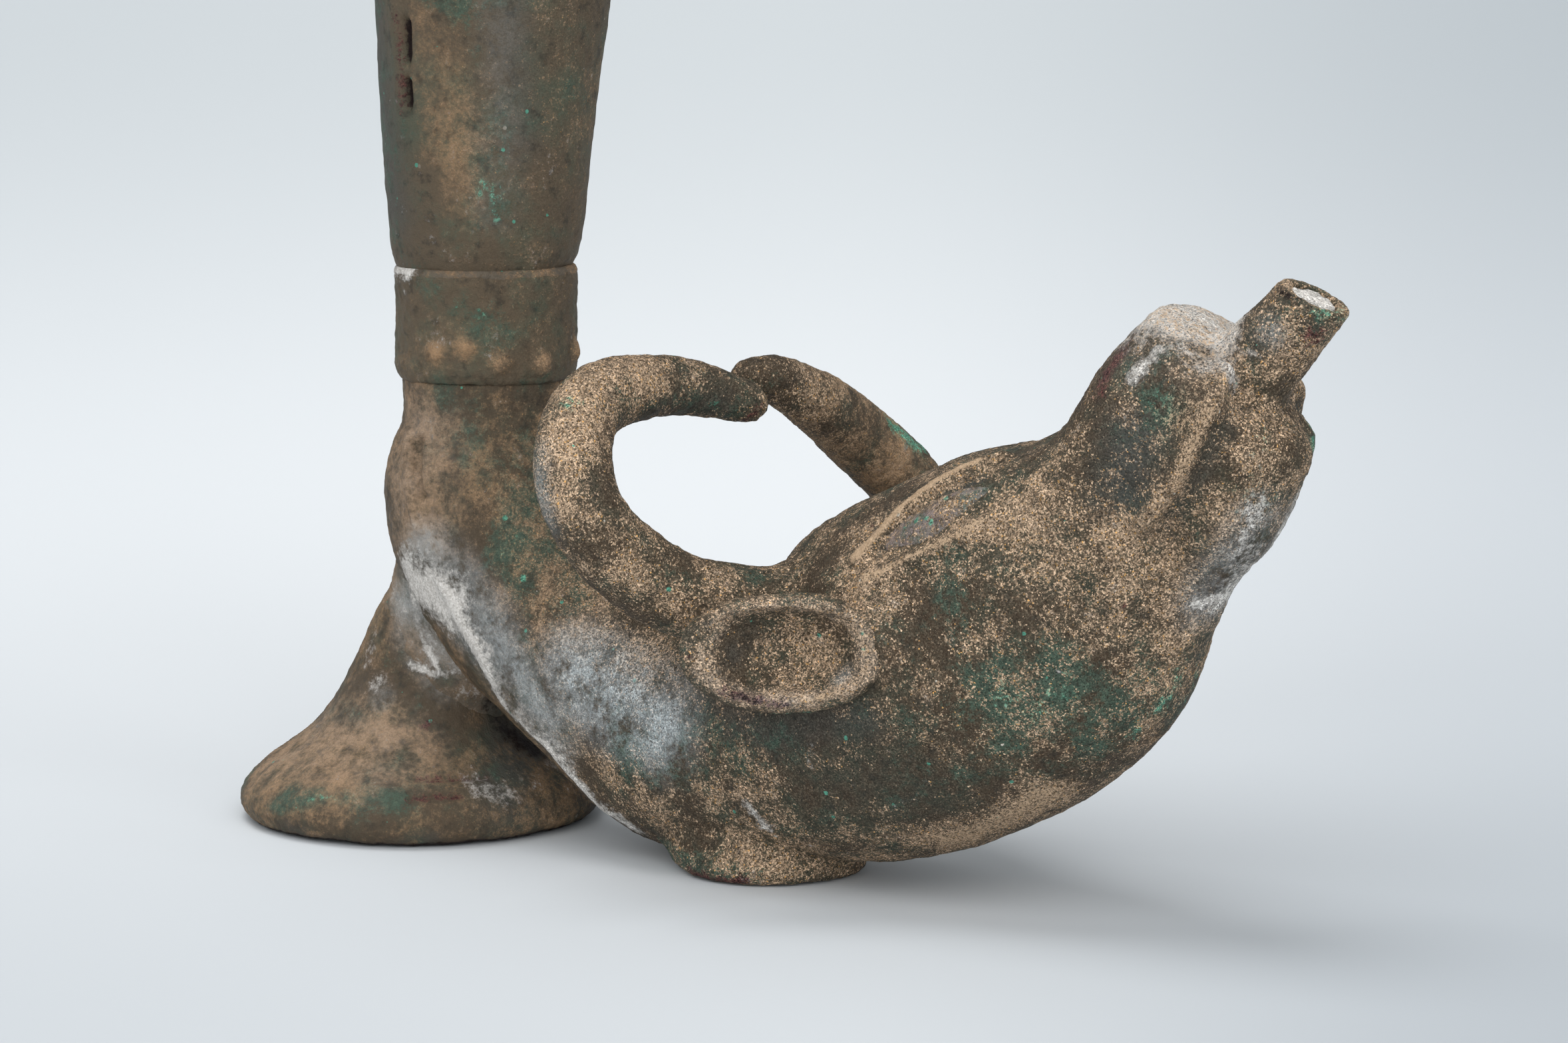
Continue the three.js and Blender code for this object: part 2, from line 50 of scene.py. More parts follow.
LAMPS = [
    # height and azimuth in degrees, spread and strength
    ("soft_lamp", 78, -76, 32, 1.25),
    ("left_panel", 38, -80, 55, 0.4),
    ("right_panel", 28, 70, 55, 1.2),
    ("front_panel", 32, 20, 70, 1.7),
]
ROOM_COLOUR = (0.93, 0.97, 1.0)
ROOM_STRENGTH = 0.355
TABLE_RADIUS = 14000
TABLE_DROP = 0.1
TABLE_SIDES = 96
PAPER_ROUGHNESS = 0.9
# painted light falloff on the paper, spreading from its front edge, in metres: its colour is brightest in the
# middle some way back, and darker far off, near the front and to the sides, most to the right
PAPER_FRONT = (0.3785, -0.5178, 0)
PAPER_AHEAD = (-0.588, 0.809, 0)
PAPER_ASIDE = (0.809, 0.588, 0)
PAPER_NEAR = 0.64
PAPER_FADE_IN = (0.05, 0.4)
PAPER_DEPTH_SPAN = (0, 1.25)
PAPER_DEPTH_FALLOFF = [(0.07, (0.535, 0.57, 0.59)), (0.5, (0.70, 0.725, 0.745)), (0.95, (0.575, 0.605, 0.63))]
PAPER_SIDE_SPAN = (-0.2, 0.2)
PAPER_SIDE_FALLOFF = [(0, (0.95, 0.955, 0.96)), (0.5, (1, 1, 1)), (1, (0.75, 0.77, 0.79))]


def node(tree, kind, inputs=(), **settings):
    """Adds a shader node, sets it up and feeds its inputs, each a plain value or another node's socket."""
    made = tree.nodes.new("ShaderNode" + kind)
    for key, value in settings.items():
        setattr(made, key, value)
    for key, value in dict(inputs).items():
        if isinstance(value, bpy.types.NodeSocket):
            tree.links.new(value, made.inputs[key])
        else:
            made.inputs[key].default_value = value
    return made


def ranged(tree, value, low, high, least=0.0, **settings):
    """How far a value has come from low to high, as a number from least to 1."""
    inputs = {"Value": value, "From Min": low, "From Max": high, "To Min": least}
    return node(tree, "MapRange", inputs, **settings).outputs[0]


def bare_material(name):
    """A material with nothing in its tree yet."""
    material = bpy.data.materials.new(name)
    material.use_nodes = True
    material.node_tree.nodes.clear()
    return material, material.node_tree


scene = bpy.context.scene
scene.view_settings.view_transform = "Standard"
bpy.ops.object.select_all(action="DESELECT")
bpy.ops.object.camera_add(
    location=Vector(CAMERA_PLACE) * MM,
    rotation=(math.radians(90 - CAMERA_TILT), 0, math.radians(CAMERA_AZIMUTH)),
)
scene.camera = bpy.context.object
scene.camera.data.lens = CAMERA_LENS
scene.camera.data.sensor_width = CAMERA_SENSOR
for name, height, azimuth, spread, strength in LAMPS:
    bpy.ops.object.light_add(type="SUN", rotation=(math.radians(90 - height), 0, math.radians(azimuth)))
    lamp = bpy.context.object
    lamp.name = name
    lamp.data.angle = math.radians(spread)
    lamp.data.energy = strength
scene.world = bpy.data.worlds.new("pale_room")
scene.world.use_nodes = True
sky = scene.world.node_tree.nodes["Background"]
sky.inputs["Color"].default_value = (*ROOM_COLOUR, 1)
sky.inputs["Strength"].default_value = ROOM_STRENGTH
bpy.ops.mesh.primitive_circle_add(
    vertices=TABLE_SIDES, radius=TABLE_RADIUS * MM, fill_type="NGON", location=(0, 0, -TABLE_DROP * MM)
)
table = bpy.context.object
table.name = "paper_table"
bpy.ops.object.transform_apply(location=True)
paper, tree = bare_material("pale_paper")
spot = node(tree, "TexCoord").outputs["Object"]
spot = node(tree, "VectorMath", {0: spot, 1: PAPER_FRONT}, operation="SUBTRACT").outputs[0]
ahead = node(tree, "VectorMath", {0: spot, 1: PAPER_AHEAD}, operation="DOT_PRODUCT").outputs["Value"]
aside = node(tree, "VectorMath", {0: spot, 1: PAPER_ASIDE}, operation="DOT_PRODUCT").outputs["Value"]
reach = node(tree, "VectorMath", {0: spot}, operation="LENGTH").outputs["Value"]
fade_in = ranged(tree, ahead, *PAPER_FADE_IN, interpolation_type="SMOOTHSTEP")
aside = node(tree, "Math", {0: aside, 1: reach}, operation="DIVIDE").outputs[0]
aside = node(tree, "Math", {0: aside, 1: fade_in}, operation="MULTIPLY").outputs[0]
depth = node(tree, "Math", {0: PAPER_NEAR, 1: reach}, operation="DIVIDE").outputs[0]
depth_falloff = (depth, PAPER_DEPTH_SPAN, PAPER_DEPTH_FALLOFF)
side_falloff = (aside, PAPER_SIDE_SPAN, PAPER_SIDE_FALLOFF)
painted_falloff = []
for value, span, tones in (depth_falloff, side_falloff):
    ramp = node(tree, "ValToRGB", {0: ranged(tree, value, *span)})
    ramp.color_ramp.interpolation = "EASE"
    stops = ramp.color_ramp.elements
    while len(stops) < len(tones):
        stops.new(0.5)
    for stop, (position, colour) in zip(stops, tones):
        stop.position = position
        stop.color = (*colour, 1)
    painted_falloff.append(ramp.outputs[0])
# the paper's colour is the painted light falloff by depth times the one by side
tones = {"Fac": 1.0, "Color1": painted_falloff[0], "Color2": painted_falloff[1]}
tone = node(tree, "MixRGB", tones, blend_type="MULTIPLY").outputs[0]
sheet = node(tree, "BsdfPrincipled", {"Base Color": tone, "Roughness": PAPER_ROUGHNESS})
node(tree, "OutputMaterial", {"Surface": sheet.outputs[0]})
table.data.materials.append(paper)

# Neck: the hollow bronze casting that bends from the collar down to the table and forward to the head.
# Its top is a spigot for the collar and its front end laps inside the head. Lime lines its underside.
STATIONS = np.array([
    # x, z, and the half sizes towards the brow, the throat and the sides
    (-54.8, 71, 13.1, 13.1, 13.1),
    (-54.8, 64.5, 13.1, 13.1, 13.1),
    (-53.6, 55, 14.8, 18.8, 16),
    (-46.5, 42, 16, 20.2, 16.2),
    (-32.5, 30.5, 16.5, 18.5, 16.5),
    (-15.5, 23.5, 17, 22.4, 17.5),
    (3, 22, 19.8, 19.6, 19),
    (20.5, 27.5, 26.8, 24.2, 21),
    (36, 38.5, 25.6, 28.7, 22.5),
    (50, 51.5, 19.7, 28.4, 20.5),
    (61, 62.5, 10.8, 20, 17),
    (70.5, 72.5, 13, 19.8, 16.2),
    (77, 79.5, 13.2, 18, 13),
])
CAST_SIDES = 40
CAST_WALL = 2.2
RINGS_PER_STATION = 4
NECK_INSIDE = (0.7, 1.6, 2.4, 3.2, 4, 4.8)
JOINT_STATION = 5.6
JOINT_EDGE = 0.1
JOINT_SINK = 0.5
LAP_ROOT = 5.3
LAP_STATION = 5.9
LAP_GAP = 0.3
LAP_WALL = 1.6
SPIGOT_ROOT = 0.2
SPIGOT_STEP = 1.3
SPIGOT_LENGTH = 6
SPIGOT_WALL = 1.6
CAST_LUMPS = [(14, 0.7), (4, 0.35), (1.3, 0.4)]
SLOPE_STEP = 0.02
# the patina's grains, in mm: their sizes, how far they stray and how high they stand
GRAIN_SIZE = 0.29
SPECK_SIZE = 0.19
FLECK_SIZE = 2.6
GRAIN_STRAY = 0.35
GRAIN_HEIGHT = 0.2
GRAIN_REACHES = [
    # axis, where the grains are calm and where they are sharp, and how sharp the calm ones still are
    (0, -48, -18, 0.14),
    (1, 28, 10, 0.4),
]
# the patina's colours, dark to light where there are two
BARE_BRONZE = (0.064, 0.045, 0.029)
OLIVE_BRONZE = (0.045, 0.051, 0.036)
SOOT = (0.024, 0.021, 0.017)
# dark grey patina, and also painted shade where the dark grey coat lies in hollows, grooves, the crotch and
# under the ear
SLATE_AND_SHADE = (0.06, 0.064, 0.06)
TEAL_TONES = [(0.03, 0.05, 0.039), (0.08, 0.14, 0.1)]
EARTH_WASH = (0.2, 0.13, 0.078)
EARTH_DUST = (0.155, 0.125, 0.087)
# grey dust over the dark grey coat, painted shade included
SLATE_AND_SHADE_DUST = (0.125, 0.122, 0.105)
TEAL_DUST = (0.1, 0.135, 0.098)
CALM_GRAINS = (0.36, 0.222, 0.12)
GRAIN_TONES = [(0.22, 0.153, 0.097), (0.62, 0.45, 0.305)]
ORANGE_GRAINS = (0.55, 0.31, 0.11)
WORN_SKIN = (0.035, 0.032, 0.026)
MALACHITE_FLECK = (0.09, 0.28, 0.2)
MALACHITE_TONES = [(0.045, 0.16, 0.11), (0.17, 0.43, 0.3)]
CUPRITE_TONES = [(0.035, 0.016, 0.017), (0.15, 0.06, 0.05)]
# pale bluish film: partly a deposit, partly painted sheen on the neck, muzzle, horn and beaker, and a painted
# highlight on the ear rims
HAZE_AND_SHEEN = (0.5, 0.555, 0.575)
LIME_FLECK = (0.6, 0.55, 0.47)
LIME_TONES = [(0.5, 0.47, 0.43), (0.78, 0.75, 0.71)]
# near-black: real dark pits, and painted shade in the beaker's slits, the crotch of the rear foot and along
# its sole
PIT_AND_SHADE = (0.018, 0.011, 0.01)
# smooth tan, and painted highlight on the ears' lower rims and along the lip ridges
CLAY_AND_HIGHLIGHT_TONES = [(0.42, 0.29, 0.18), (0.66, 0.48, 0.32)]
CAST_COVER = -0.3


def through(points, station, power=0):
    """The point at a station of a smooth curve through the points. Power 0.5 keeps uneven bends round."""
    i = int(min(max(station, 0), len(points) - 2))
    before = points[i - 1] if i else 2 * points[0] - points[1]
    after = points[i + 2] if i + 2 < len(points) else 2 * points[-1] - points[-2]
    run = [before, points[i], points[i + 1], after]
    gap = [np.linalg.norm(b - a) ** power for a, b in zip(run, run[1:])]
    step = [b - a for a, b in zip(run, run[1:])]
    leave = (step[0] / gap[0] - (run[2] - run[0]) / (gap[0] + gap[1]) + step[1] / gap[1]) * gap[1]
    arrive = (step[1] / gap[1] - (run[3] - run[1]) / (gap[1] + gap[2]) + step[2] / gap[2]) * gap[1]
    u = station - i
    bend = 3 * step[1] - 2 * leave - arrive
    return run[1] + leave * u + bend * u**2 + (leave + arrive - 2 * step[1]) * u**3


def heading(station):
    """The spine's direction at a station, in x and z."""
    ahead = (through(STATIONS, station + SLOPE_STEP) - through(STATIONS, station - SLOPE_STEP))[:2]
    return ahead / np.linalg.norm(ahead)


def cast_point(station, angle, grow=0, shift=0, shrink=1):
    """A point of the casting's skin: angle 0 is the animal's left and a quarter turn the brow.
    It can be grown outwards, shifted along the spine or drawn in towards it."""
    x, z, brow, throat, side = through(STATIONS, station)
    ahead = heading(station)
    lift = np.sin(angle) * (np.where(np.sin(angle) > 0, brow, throat) + grow) * shrink
    out = np.cos(angle) * (side + grow) * shrink
    return np.stack([x + shift * ahead[0] - lift * ahead[1], out, z + shift * ahead[1] + lift * ahead[0]], -1)


def turns(sides):
    """The angles of a ring's corners."""
    return np.arange(sides) / sides * 2 * np.pi


def cast_ring(station, *form):
    """A ring of the casting's skin at a station, formed as cast_point says."""
    return cast_point(station, turns(CAST_SIDES), *form)


def loft(name, rings, level):
    """Skins a piece: a circle is extruded ring by ring, each ring's corners are set, and the skin is rounded.
    A list that ends with its first ring closes on itself, and any other is capped at both ends."""
    closed = rings[0] is rings[-1]
    bpy.ops.object.select_all(action="DESELECT")
    bpy.ops.mesh.primitive_circle_add(vertices=len(rings[0]), fill_type="NOTHING" if closed else "NGON")
    piece = bpy.context.object
    piece.name = piece.data.name = name
    bpy.ops.object.mode_set(mode="EDIT")
    bpy.ops.mesh.select_all(action="SELECT")
    for i, ring in enumerate(rings):
        if i > 0:
            bpy.ops.mesh.extrude_region_move()
        cage = bmesh.from_edit_mesh(piece.data)
        corners = [corner for corner in cage.verts if corner.select]
        for corner, point in zip(corners, ring):
            corner.co = Vector(point) * MM
        bmesh.update_edit_mesh(piece.data)
    bpy.ops.mesh.select_all(action="SELECT")
    bpy.ops.mesh.remove_doubles(threshold=MM / 1000)
    bpy.ops.mesh.normals_make_consistent(inside=False)
    bpy.ops.object.mode_set(mode="OBJECT")
    rounding = piece.modifiers.new("rounding", "SUBSURF")
    rounding.levels = rounding.render_levels = level
    bpy.ops.object.modifier_apply(modifier=rounding.name)
    bpy.ops.object.shade_smooth()
    return piece


def corner_values(piece, name):
    """The places or normals of a mesh's corners, as rows of three numbers."""
    flat = np.empty(len(piece.data.vertices) * 3, np.float32)
    piece.data.vertices.foreach_get(name, flat)
    return flat.reshape(-1, 3).astype(float)


def nearness(points, reach, *line):
    """How near each point lies to a line of places: 1 on it, easing to 0 at the reach."""
    places = [np.array(place, float) for place in line]
    gap = np.full(len(points), np.inf)
    for start, end in zip(places, places[1:] or places):
        run = end - start
        share = np.clip((points - start) @ run / max(run @ run, 1e-9), 0, 1)
        gap = np.minimum(gap, np.linalg.norm(points - start - share[:, None] * run, axis=1))
    fade = np.clip(1 - gap / reach, 0, 1)
    return fade * fade * (3 - 2 * fade)


def mirrored(*strokes):
    """The strokes, and the same strokes on the animal's other side."""
    flipped = [(*stroke[:2], *((x, -y, z) for x, y, z in stroke[2:])) for stroke in strokes]
    return [*strokes, *flipped]


def emboss(piece, *strokes):
    """Pushes the skin out along each stroke: its reach and height, then its places. Below zero cuts in."""
    for reach, height, *line in strokes:
        points = corner_values(piece, "co") / MM
        points += corner_values(piece, "normal") * (height * nearness(points, reach, *line))[:, None]
        piece.data.vertices.foreach_set("co", (points * MM).astype(np.float32).ravel())
        piece.data.update()


def roughen(piece, lumps):
    """Gives the skin its cast and corroded roughness: lumps of a size, standing that high at most."""
    bpy.context.view_layer.objects.active = piece
    for size, height in lumps:
        crust = bpy.data.textures.new(f"{piece.name}_crust", "CLOUDS")
        crust.noise_scale = size * MM
        crust.noise_depth = 2
        push = piece.modifiers.new("crust", "DISPLACE")
        push.texture = crust
        push.texture_coords = "LOCAL"
        push.strength = height * MM
        bpy.ops.object.modifier_apply(modifier=push.name)


def paint(piece, coat, *strokes):
    """Lays a coat along each stroke: its reach and strength, then its places. Below zero thins the coat."""
    points = corner_values(piece, "co") / MM
    cover = np.zeros(len(points))
    for reach, strength, *line in sorted(strokes, key=lambda stroke: stroke[1], reverse=True):
        touch = strength * nearness(points, reach, *line)
        cover = np.maximum(cover, touch) if strength > 0 else cover + touch
    layer = piece.data.attributes.new(coat, "FLOAT", "POINT")
    layer.data.foreach_set("value", cover.astype(np.float32))


def patina(name, bare, olive, cover, patchy=1.0):
    """Buried bronze: brown and olive skin, stained teal, under an earthen crust with malachite, cuprite and
    lime.
    Some coats also carry painted light: painted shade in hollows, grooves and under overhangs, painted sheen,
    and painted highlights on rims and ridges. Cover raises or lowers the crust, and patchy says how unevenly
    it lies."""
    material, tree = bare_material(name)

    def math_of(operation, *values):
        return node(tree, "Math", dict(enumerate(values)), operation=operation).outputs[0]

    def times(one, other):
        return math_of("MULTIPLY", one, other)

    def total(*terms):
        result = 0.0
        for value, weight in terms:
            result = math_of("MULTIPLY_ADD", value, weight, result)
        return result

    def calmed(value, middle):
        """A value that keeps to its middle where the grains are calm."""
        return math_of("MULTIPLY_ADD", math_of("SUBTRACT", value, middle), bite, middle)

    def vector_of(operation, one, other):
        return node(tree, "VectorMath", {0: one, 1: other}, operation=operation).outputs[0]

    def noise(size, detail, shift=0, rough=0.65):
        moved = vector_of("ADD", place, (shift * MM,) * 3)
        inputs = {"Vector": moved, "Scale": 1 / (size * MM), "Detail": detail, "Roughness": rough}
        return node(tree, "TexNoise", inputs).outputs

    def cloud(*form):
        return ranged(tree, noise(*form)[0], 0.3, 0.7, -1.0)

    def cells(size):
        made = node(tree, "TexVoronoi", {"Vector": strayed, "Scale": 1 / (size * MM)})
        draws = node(tree, "SeparateColor", {0: made.outputs["Color"]}).outputs[:3]
        return *draws, made.outputs["Distance"]

    def coat(layer):
        return node(tree, "Attribute", attribute_name=layer).outputs["Fac"]

    def ease(value, low, high):
        return ranged(tree, value, low, high, interpolation_type="SMOOTHSTEP")

    def blend(share, under, over):
        colours = {"Color1": under, "Color2": over}
        colours = {key: c if isinstance(c, bpy.types.NodeSocket) else (*c, 1) for key, c in colours.items()}
        return node(tree, "MixRGB", {"Fac": share, **colours}).outputs[0]

    place = node(tree, "TexCoord").outputs["Object"]
    broad = cloud(17, 2)
    patch = cloud(5, 4, 31)
    stain = cloud(7, 5, 77)
    crumb = cloud(1.0, 6, 13, 0.78)
    strayed = vector_of("ADD", place, vector_of("MULTIPLY", noise(0.5, 3)[1], (GRAIN_STRAY * MM,) * 3))
    chance, tint, lift, _ = cells(GRAIN_SIZE)
    speck, shade, rise, _ = cells(SPECK_SIZE)
    kind, rare, _, distance = cells(FLECK_SIZE)
    bites = []
    for axis, calm, sharp, least in GRAIN_REACHES:
        value = node(tree, "SeparateXYZ", {0: place}).outputs[axis]
        bites.append(ranged(tree, value, calm * MM, sharp * MM, least))
    bite = math_of("MINIMUM", *bites)

    # bare and stained skin
    # the dark grey coat: real dark patina, and painted shade in hollows, grooves, the crotch and under the
    # ear
    slate_and_shade = coat("slate_and_shade")
    teal = ease(total((coat("teal"), 1.0), (stain, 0.55), (crumb, 0.45), (tint, 0.3)), 0.3, 0.95)
    skin = blend(ease(total((stain, 0.6), (broad, 0.5), (crumb, 0.3)), -0.5, 0.5), bare, olive)
    skin = blend(times(ease(crumb, 0.1, 0.9), 0.65), skin, SOOT)
    skin = blend(times(slate_and_shade, 0.75), skin, SLATE_AND_SHADE)
    stained = blend(total((ease(crumb, -0.6, 0.7), 0.5), (shade, 0.5)), *TEAL_TONES)
    skin = blend(times(teal, 0.75), skin, stained)

    # crust of earth: a wash, dust, grains in two sizes, and places where it has worn off
    # the tan crust coat also lays painted highlights on the ear rims and lip ridges, and is thinned under the
    # belly, partly for painted shade
    crust = total(
        (coat("earth_and_highlight"), 1.3), (patch, 0.55 * patchy), (broad, 0.4 * patchy), (crumb, 0.6),
        (teal, -0.12), (slate_and_shade, -0.5), (1.0, cover),
    )
    skin = blend(times(ease(crust, -0.6, 0.6), 0.4), skin, EARTH_WASH)
    share = ease(crust, -0.75, 1.0)
    lumps = math_of("LESS_THAN", chance, times(share, 0.55))
    grit = math_of("LESS_THAN", speck, share)
    sand = math_of("MAXIMUM", lumps, grit)
    dust = calmed(math_of("LESS_THAN", speck, total((share, 0.95), (1.0, 0.34))), 0.5)
    dusty = blend(teal, blend(slate_and_shade, EARTH_DUST, SLATE_AND_SHADE_DUST), TEAL_DUST)
    skin = blend(times(dust, 0.55), skin, dusty)
    grains = blend(bite, CALM_GRAINS, blend(calmed(tint, 0.5), *GRAIN_TONES))
    skin = blend(calmed(sand, share), skin, grains)
    skin = blend(times(times(grit, bite), ease(rise, 0.94, 0.96)), skin, ORANGE_GRAINS)
    worn = ease(total((cloud(2.3, 3, 55), 1.0), (crumb, 0.4)), 0.05, 1.1)
    skin = blend(times(worn, 0.6), skin, WORN_SKIN)

    # flecks, and the coats that are painted on
    fleck = math_of("LESS_THAN", distance, times(rare, 0.14))
    skin = blend(times(fleck, math_of("GREATER_THAN", kind, 0.84)), skin, MALACHITE_FLECK)
    skin = blend(times(times(fleck, bite), math_of("LESS_THAN", kind, 0.16)), skin, LIME_FLECK)
    green = ease(total((coat("malachite"), 1.0), (crumb, 0.3), (stain, 0.25)), 0.4, 0.7)
    skin = blend(green, skin, blend(shade, *MALACHITE_TONES))
    red = ease(total((coat("cuprite"), 1.0), (crumb, 0.5)), 0.35, 0.75)
    skin = blend(red, skin, blend(shade, *CUPRITE_TONES))
    # pale bluish film, partly a deposit and partly painted sheen and highlight
    haze_and_sheen = times(coat("haze_and_sheen"), ease(total((crumb, 0.4), (patch, 0.5)), -0.7, 0.6))
    skin = blend(haze_and_sheen, skin, HAZE_AND_SHEEN)
    chalk = ease(total((coat("lime"), 1.0), (patch, 0.28), (crumb, 0.35)), 0.25, 0.75)
    skin = blend(chalk, skin, blend(tint, *LIME_TONES))
    # near-black dark pits, and painted shade in slits and crevices
    skin = blend(ease(total((coat("pit_and_shade"), 1.0), (crumb, 0.25)), 0.3, 0.7), skin, PIT_AND_SHADE)
    sway = times(bite, total((sand, 0.5), (1.0, 0.5)))
    glint = math_of("MULTIPLY_ADD", math_of("MULTIPLY_ADD", shade, 1.7, -0.82), sway, 1.0)
    skin = node(tree, "VectorMath", {0: skin, "Scale": glint}, operation="SCALE").outputs[0]
    # smooth tan, partly painted highlight on rims and ridges
    clay_and_highlight = ease(total((coat("clay_and_highlight"), 1.0), (crumb, 0.25), (shade, 0.3)), 0.4, 0.75)
    skin = blend(clay_and_highlight, skin, blend(shade, *CLAY_AND_HIGHLIGHT_TONES))

    # relief and gloss
    raised = total((times(lumps, lift), 0.9), (times(grit, rise), 0.5))
    height = total((times(raised, bite), 1.0), (crumb, 0.5), (chalk, 1.0))
    bump = node(tree, "Bump", {"Strength": 0.9, "Distance": GRAIN_HEIGHT * MM, "Height": height})
    rough = total((math_of("MAXIMUM", sand, chalk), 0.3), (1.0, 0.58))
    finish = {"Base Color": skin, "Roughness": rough, "Specular IOR Level": 0.15, "Normal": bump.outputs[0]}
    shader = node(tree, "BsdfPrincipled", finish)
    node(tree, "OutputMaterial", {"Surface": shader.outputs[0]})
    return material


def fit(piece, material, slot, *nodes):
    """Dresses a finished piece, hangs it on the vessel and lets it stand for its plain solids."""
    piece.data.materials.append(material)
    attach(piece, "root")
    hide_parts(*nodes)


cast_patina = patina("cast_patina", BARE_BRONZE, OLIVE_BRONZE, CAST_COVER)
neck_outside = np.arange(0, JOINT_STATION - JOINT_EDGE, 1 / RINGS_PER_STATION)
bore = -SPIGOT_STEP - SPIGOT_WALL
lap = -CAST_WALL - LAP_GAP
neck_rings = [cast_ring(0, bore, -SPIGOT_LENGTH), cast_ring(SPIGOT_ROOT, bore)]
neck_rings += [cast_ring(station, -CAST_WALL) for station in NECK_INSIDE]
neck_rings += [cast_ring(LAP_ROOT, lap - LAP_WALL), cast_ring(LAP_STATION, lap - LAP_WALL)]
neck_rings += [cast_ring(LAP_STATION, lap), cast_ring(JOINT_STATION + JOINT_EDGE, lap)]
neck_rings += [cast_ring(JOINT_STATION + JOINT_EDGE, -JOINT_SINK), cast_ring(JOINT_STATION)]
neck_rings += [cast_ring(station) for station in reversed(neck_outside)]
neck_rings += [cast_ring(0, -SPIGOT_STEP), cast_ring(0, -SPIGOT_STEP, -SPIGOT_LENGTH), neck_rings[0]]
neck = loft("neck", neck_rings, 3)
crotch_lime = mirrored(
    (10, 0.94, (-58, -14.3, 40), (-50, -15.7, 38)),
    (7, 0.55, (-50, -15.6, 39), (-43, -15.3, 30)),
    (6.5, 0.42, (-43, -15.6, 31), (-37.5, -14.8, 23), (-29, -14.2, 16)),
    (3.4, 0.95, (-51, -15.7, 40), (-44.8, -15.3, 32), (-42.3, -13.8, 25)),
    (3.2, 0.85, (-42.3, -13.8, 25), (-39.5, -12.4, 20.3), (-32, -13.2, 16.8), (-24.4, -11.2, 9)),
    (4, 0.7, (-24.4, -11.2, 9), (-19, -9, 5)),
)
paint(neck, "lime", *crotch_lime)
# pale bluish film on the neck's side and along the crotch, partly a deposit and partly painted sheen
paint(neck, "haze_and_sheen", *mirrored(
    (12, 1, (-24, -16.5, 29), (-8, -17.3, 24)),
    (13, 0.14, (-58, -12, 62), (-57, -13, 48)),
    (10, 0.8, (-54, -15, 44), (-42, -15.8, 33), (-31, -15.4, 21)),
))
paint(neck, "teal", *mirrored(
    (12, 0.6, (-40, -7.5, 57), (-39, -12.5, 48), (-31, -14, 40)),
    (8, 0.4, (-48, -12.5, 61)),
    (10, 0.5, (-12, -17.4, 17)),
))
paint(neck, "malachite", *mirrored(
    (0.8, 1, (-41, -12.6, 51)),
    (0.9, 1, (-36, -14.3, 42.4)),
    (6, 0.25, (-39, -12, 47)),
))
paint(neck, "earth_and_highlight", *mirrored(
    (13, 0.44, (-58, -12, 62), (-57, -13, 48)),
    (9, 0.2, (-24, -14, 36), (-12, -15.5, 32)),
))
emboss(
    neck,
    (2, 1.1, (-59.5, -13.3, 63), (-57.5, -14.6, 55), (-55, -15.9, 49)),
    (1.8, -1, (-57, -14.4, 62), (-54.6, -15.6, 54)),
    (1.8, 0.7, (-55.4, -14.6, 61), (-53.4, -15.4, 55)),
    (2.5, 0.8, (-61, 13.3, 61), (-58, 15.2, 52)),
    (2.4, 0.6, (-51, -15.7, 40), (-44.5, -15.2, 31.5), (-41, -13.2, 23), (-32, -13.2, 16.8), (-23, -11, 8)),
)
roughen(neck, CAST_LUMPS)
fit(neck, cast_patina, "cast_bronze", "neck")

# Head: the hollow bull's head, cast in one with its muzzle, slid over the neck's lap and soldered there.
# The lids and the mouth were cut into the wax, and the whole skin is crusted with grains of earth.
HEAD_START = JOINT_STATION - JOINT_EDGE
HEAD_FIRST_RING = 6
HEAD_INSIDE = (11.7, 10.3, 8.7, 7.3, 6.2, HEAD_START)
HEAD_INSIDE_TIP = 0.5
JOINT_GAP = 0.02
MUZZLE_STATION = len(STATIONS) - 1
MUZZLE_DOME = 4
DOME_STEPS = (25, 48, 66, 80)
ring_numbers = np.arange(HEAD_FIRST_RING * RINGS_PER_STATION, MUZZLE_STATION * RINGS_PER_STATION + 1)
head_rings = [cast_ring(HEAD_INSIDE[0], -CAST_WALL, 0, HEAD_INSIDE_TIP)]
head_rings += [cast_ring(station, -CAST_WALL) for station in HEAD_INSIDE]
head_rings += [cast_ring(HEAD_START, -JOINT_SINK), cast_ring(JOINT_STATION + JOINT_GAP)]
head_rings += [cast_ring(station) for station in ring_numbers / RINGS_PER_STATION]
head_rings += [
    cast_ring(MUZZLE_STATION, 0, MUZZLE_DOME * math.sin(math.radians(step)), math.cos(math.radians(step)))
    for step in DOME_STEPS
]
head = loft("head", head_rings, 3)
upper_lid = [
    (29, -18, 51.5), (32.4, -15.9, 56.3), (34.6, -14.1, 59.2),
    (37.6, -12.8, 61.6), (43.8, -10.4, 65.2), (47, -9, 66.5),
]
lower_lid = [(32, -20.2, 48.8), (37.4, -19.9, 51.8), (41.7, -19.7, 54), (46, -19.4, 56), (51, -18, 58.8)]
lid_groove = [(32, -18.5, 53), (36, -16.3, 58.2), (40, -14.6, 61.5), (46, -13, 64.6)]
lip_ridge = [(81.3, -6.8, 80.1), (81.6, -12, 75.4), (79.8, -13.3, 70), (77.7, -13.9, 65.3), (73.2, -14, 60.3)]
mouth_cut = [(84.5, -7, 77), (83.5, -11.3, 71.8), (81, -12.2, 66.3), (77.6, -12.5, 61.3), (74, -11.5, 56)]
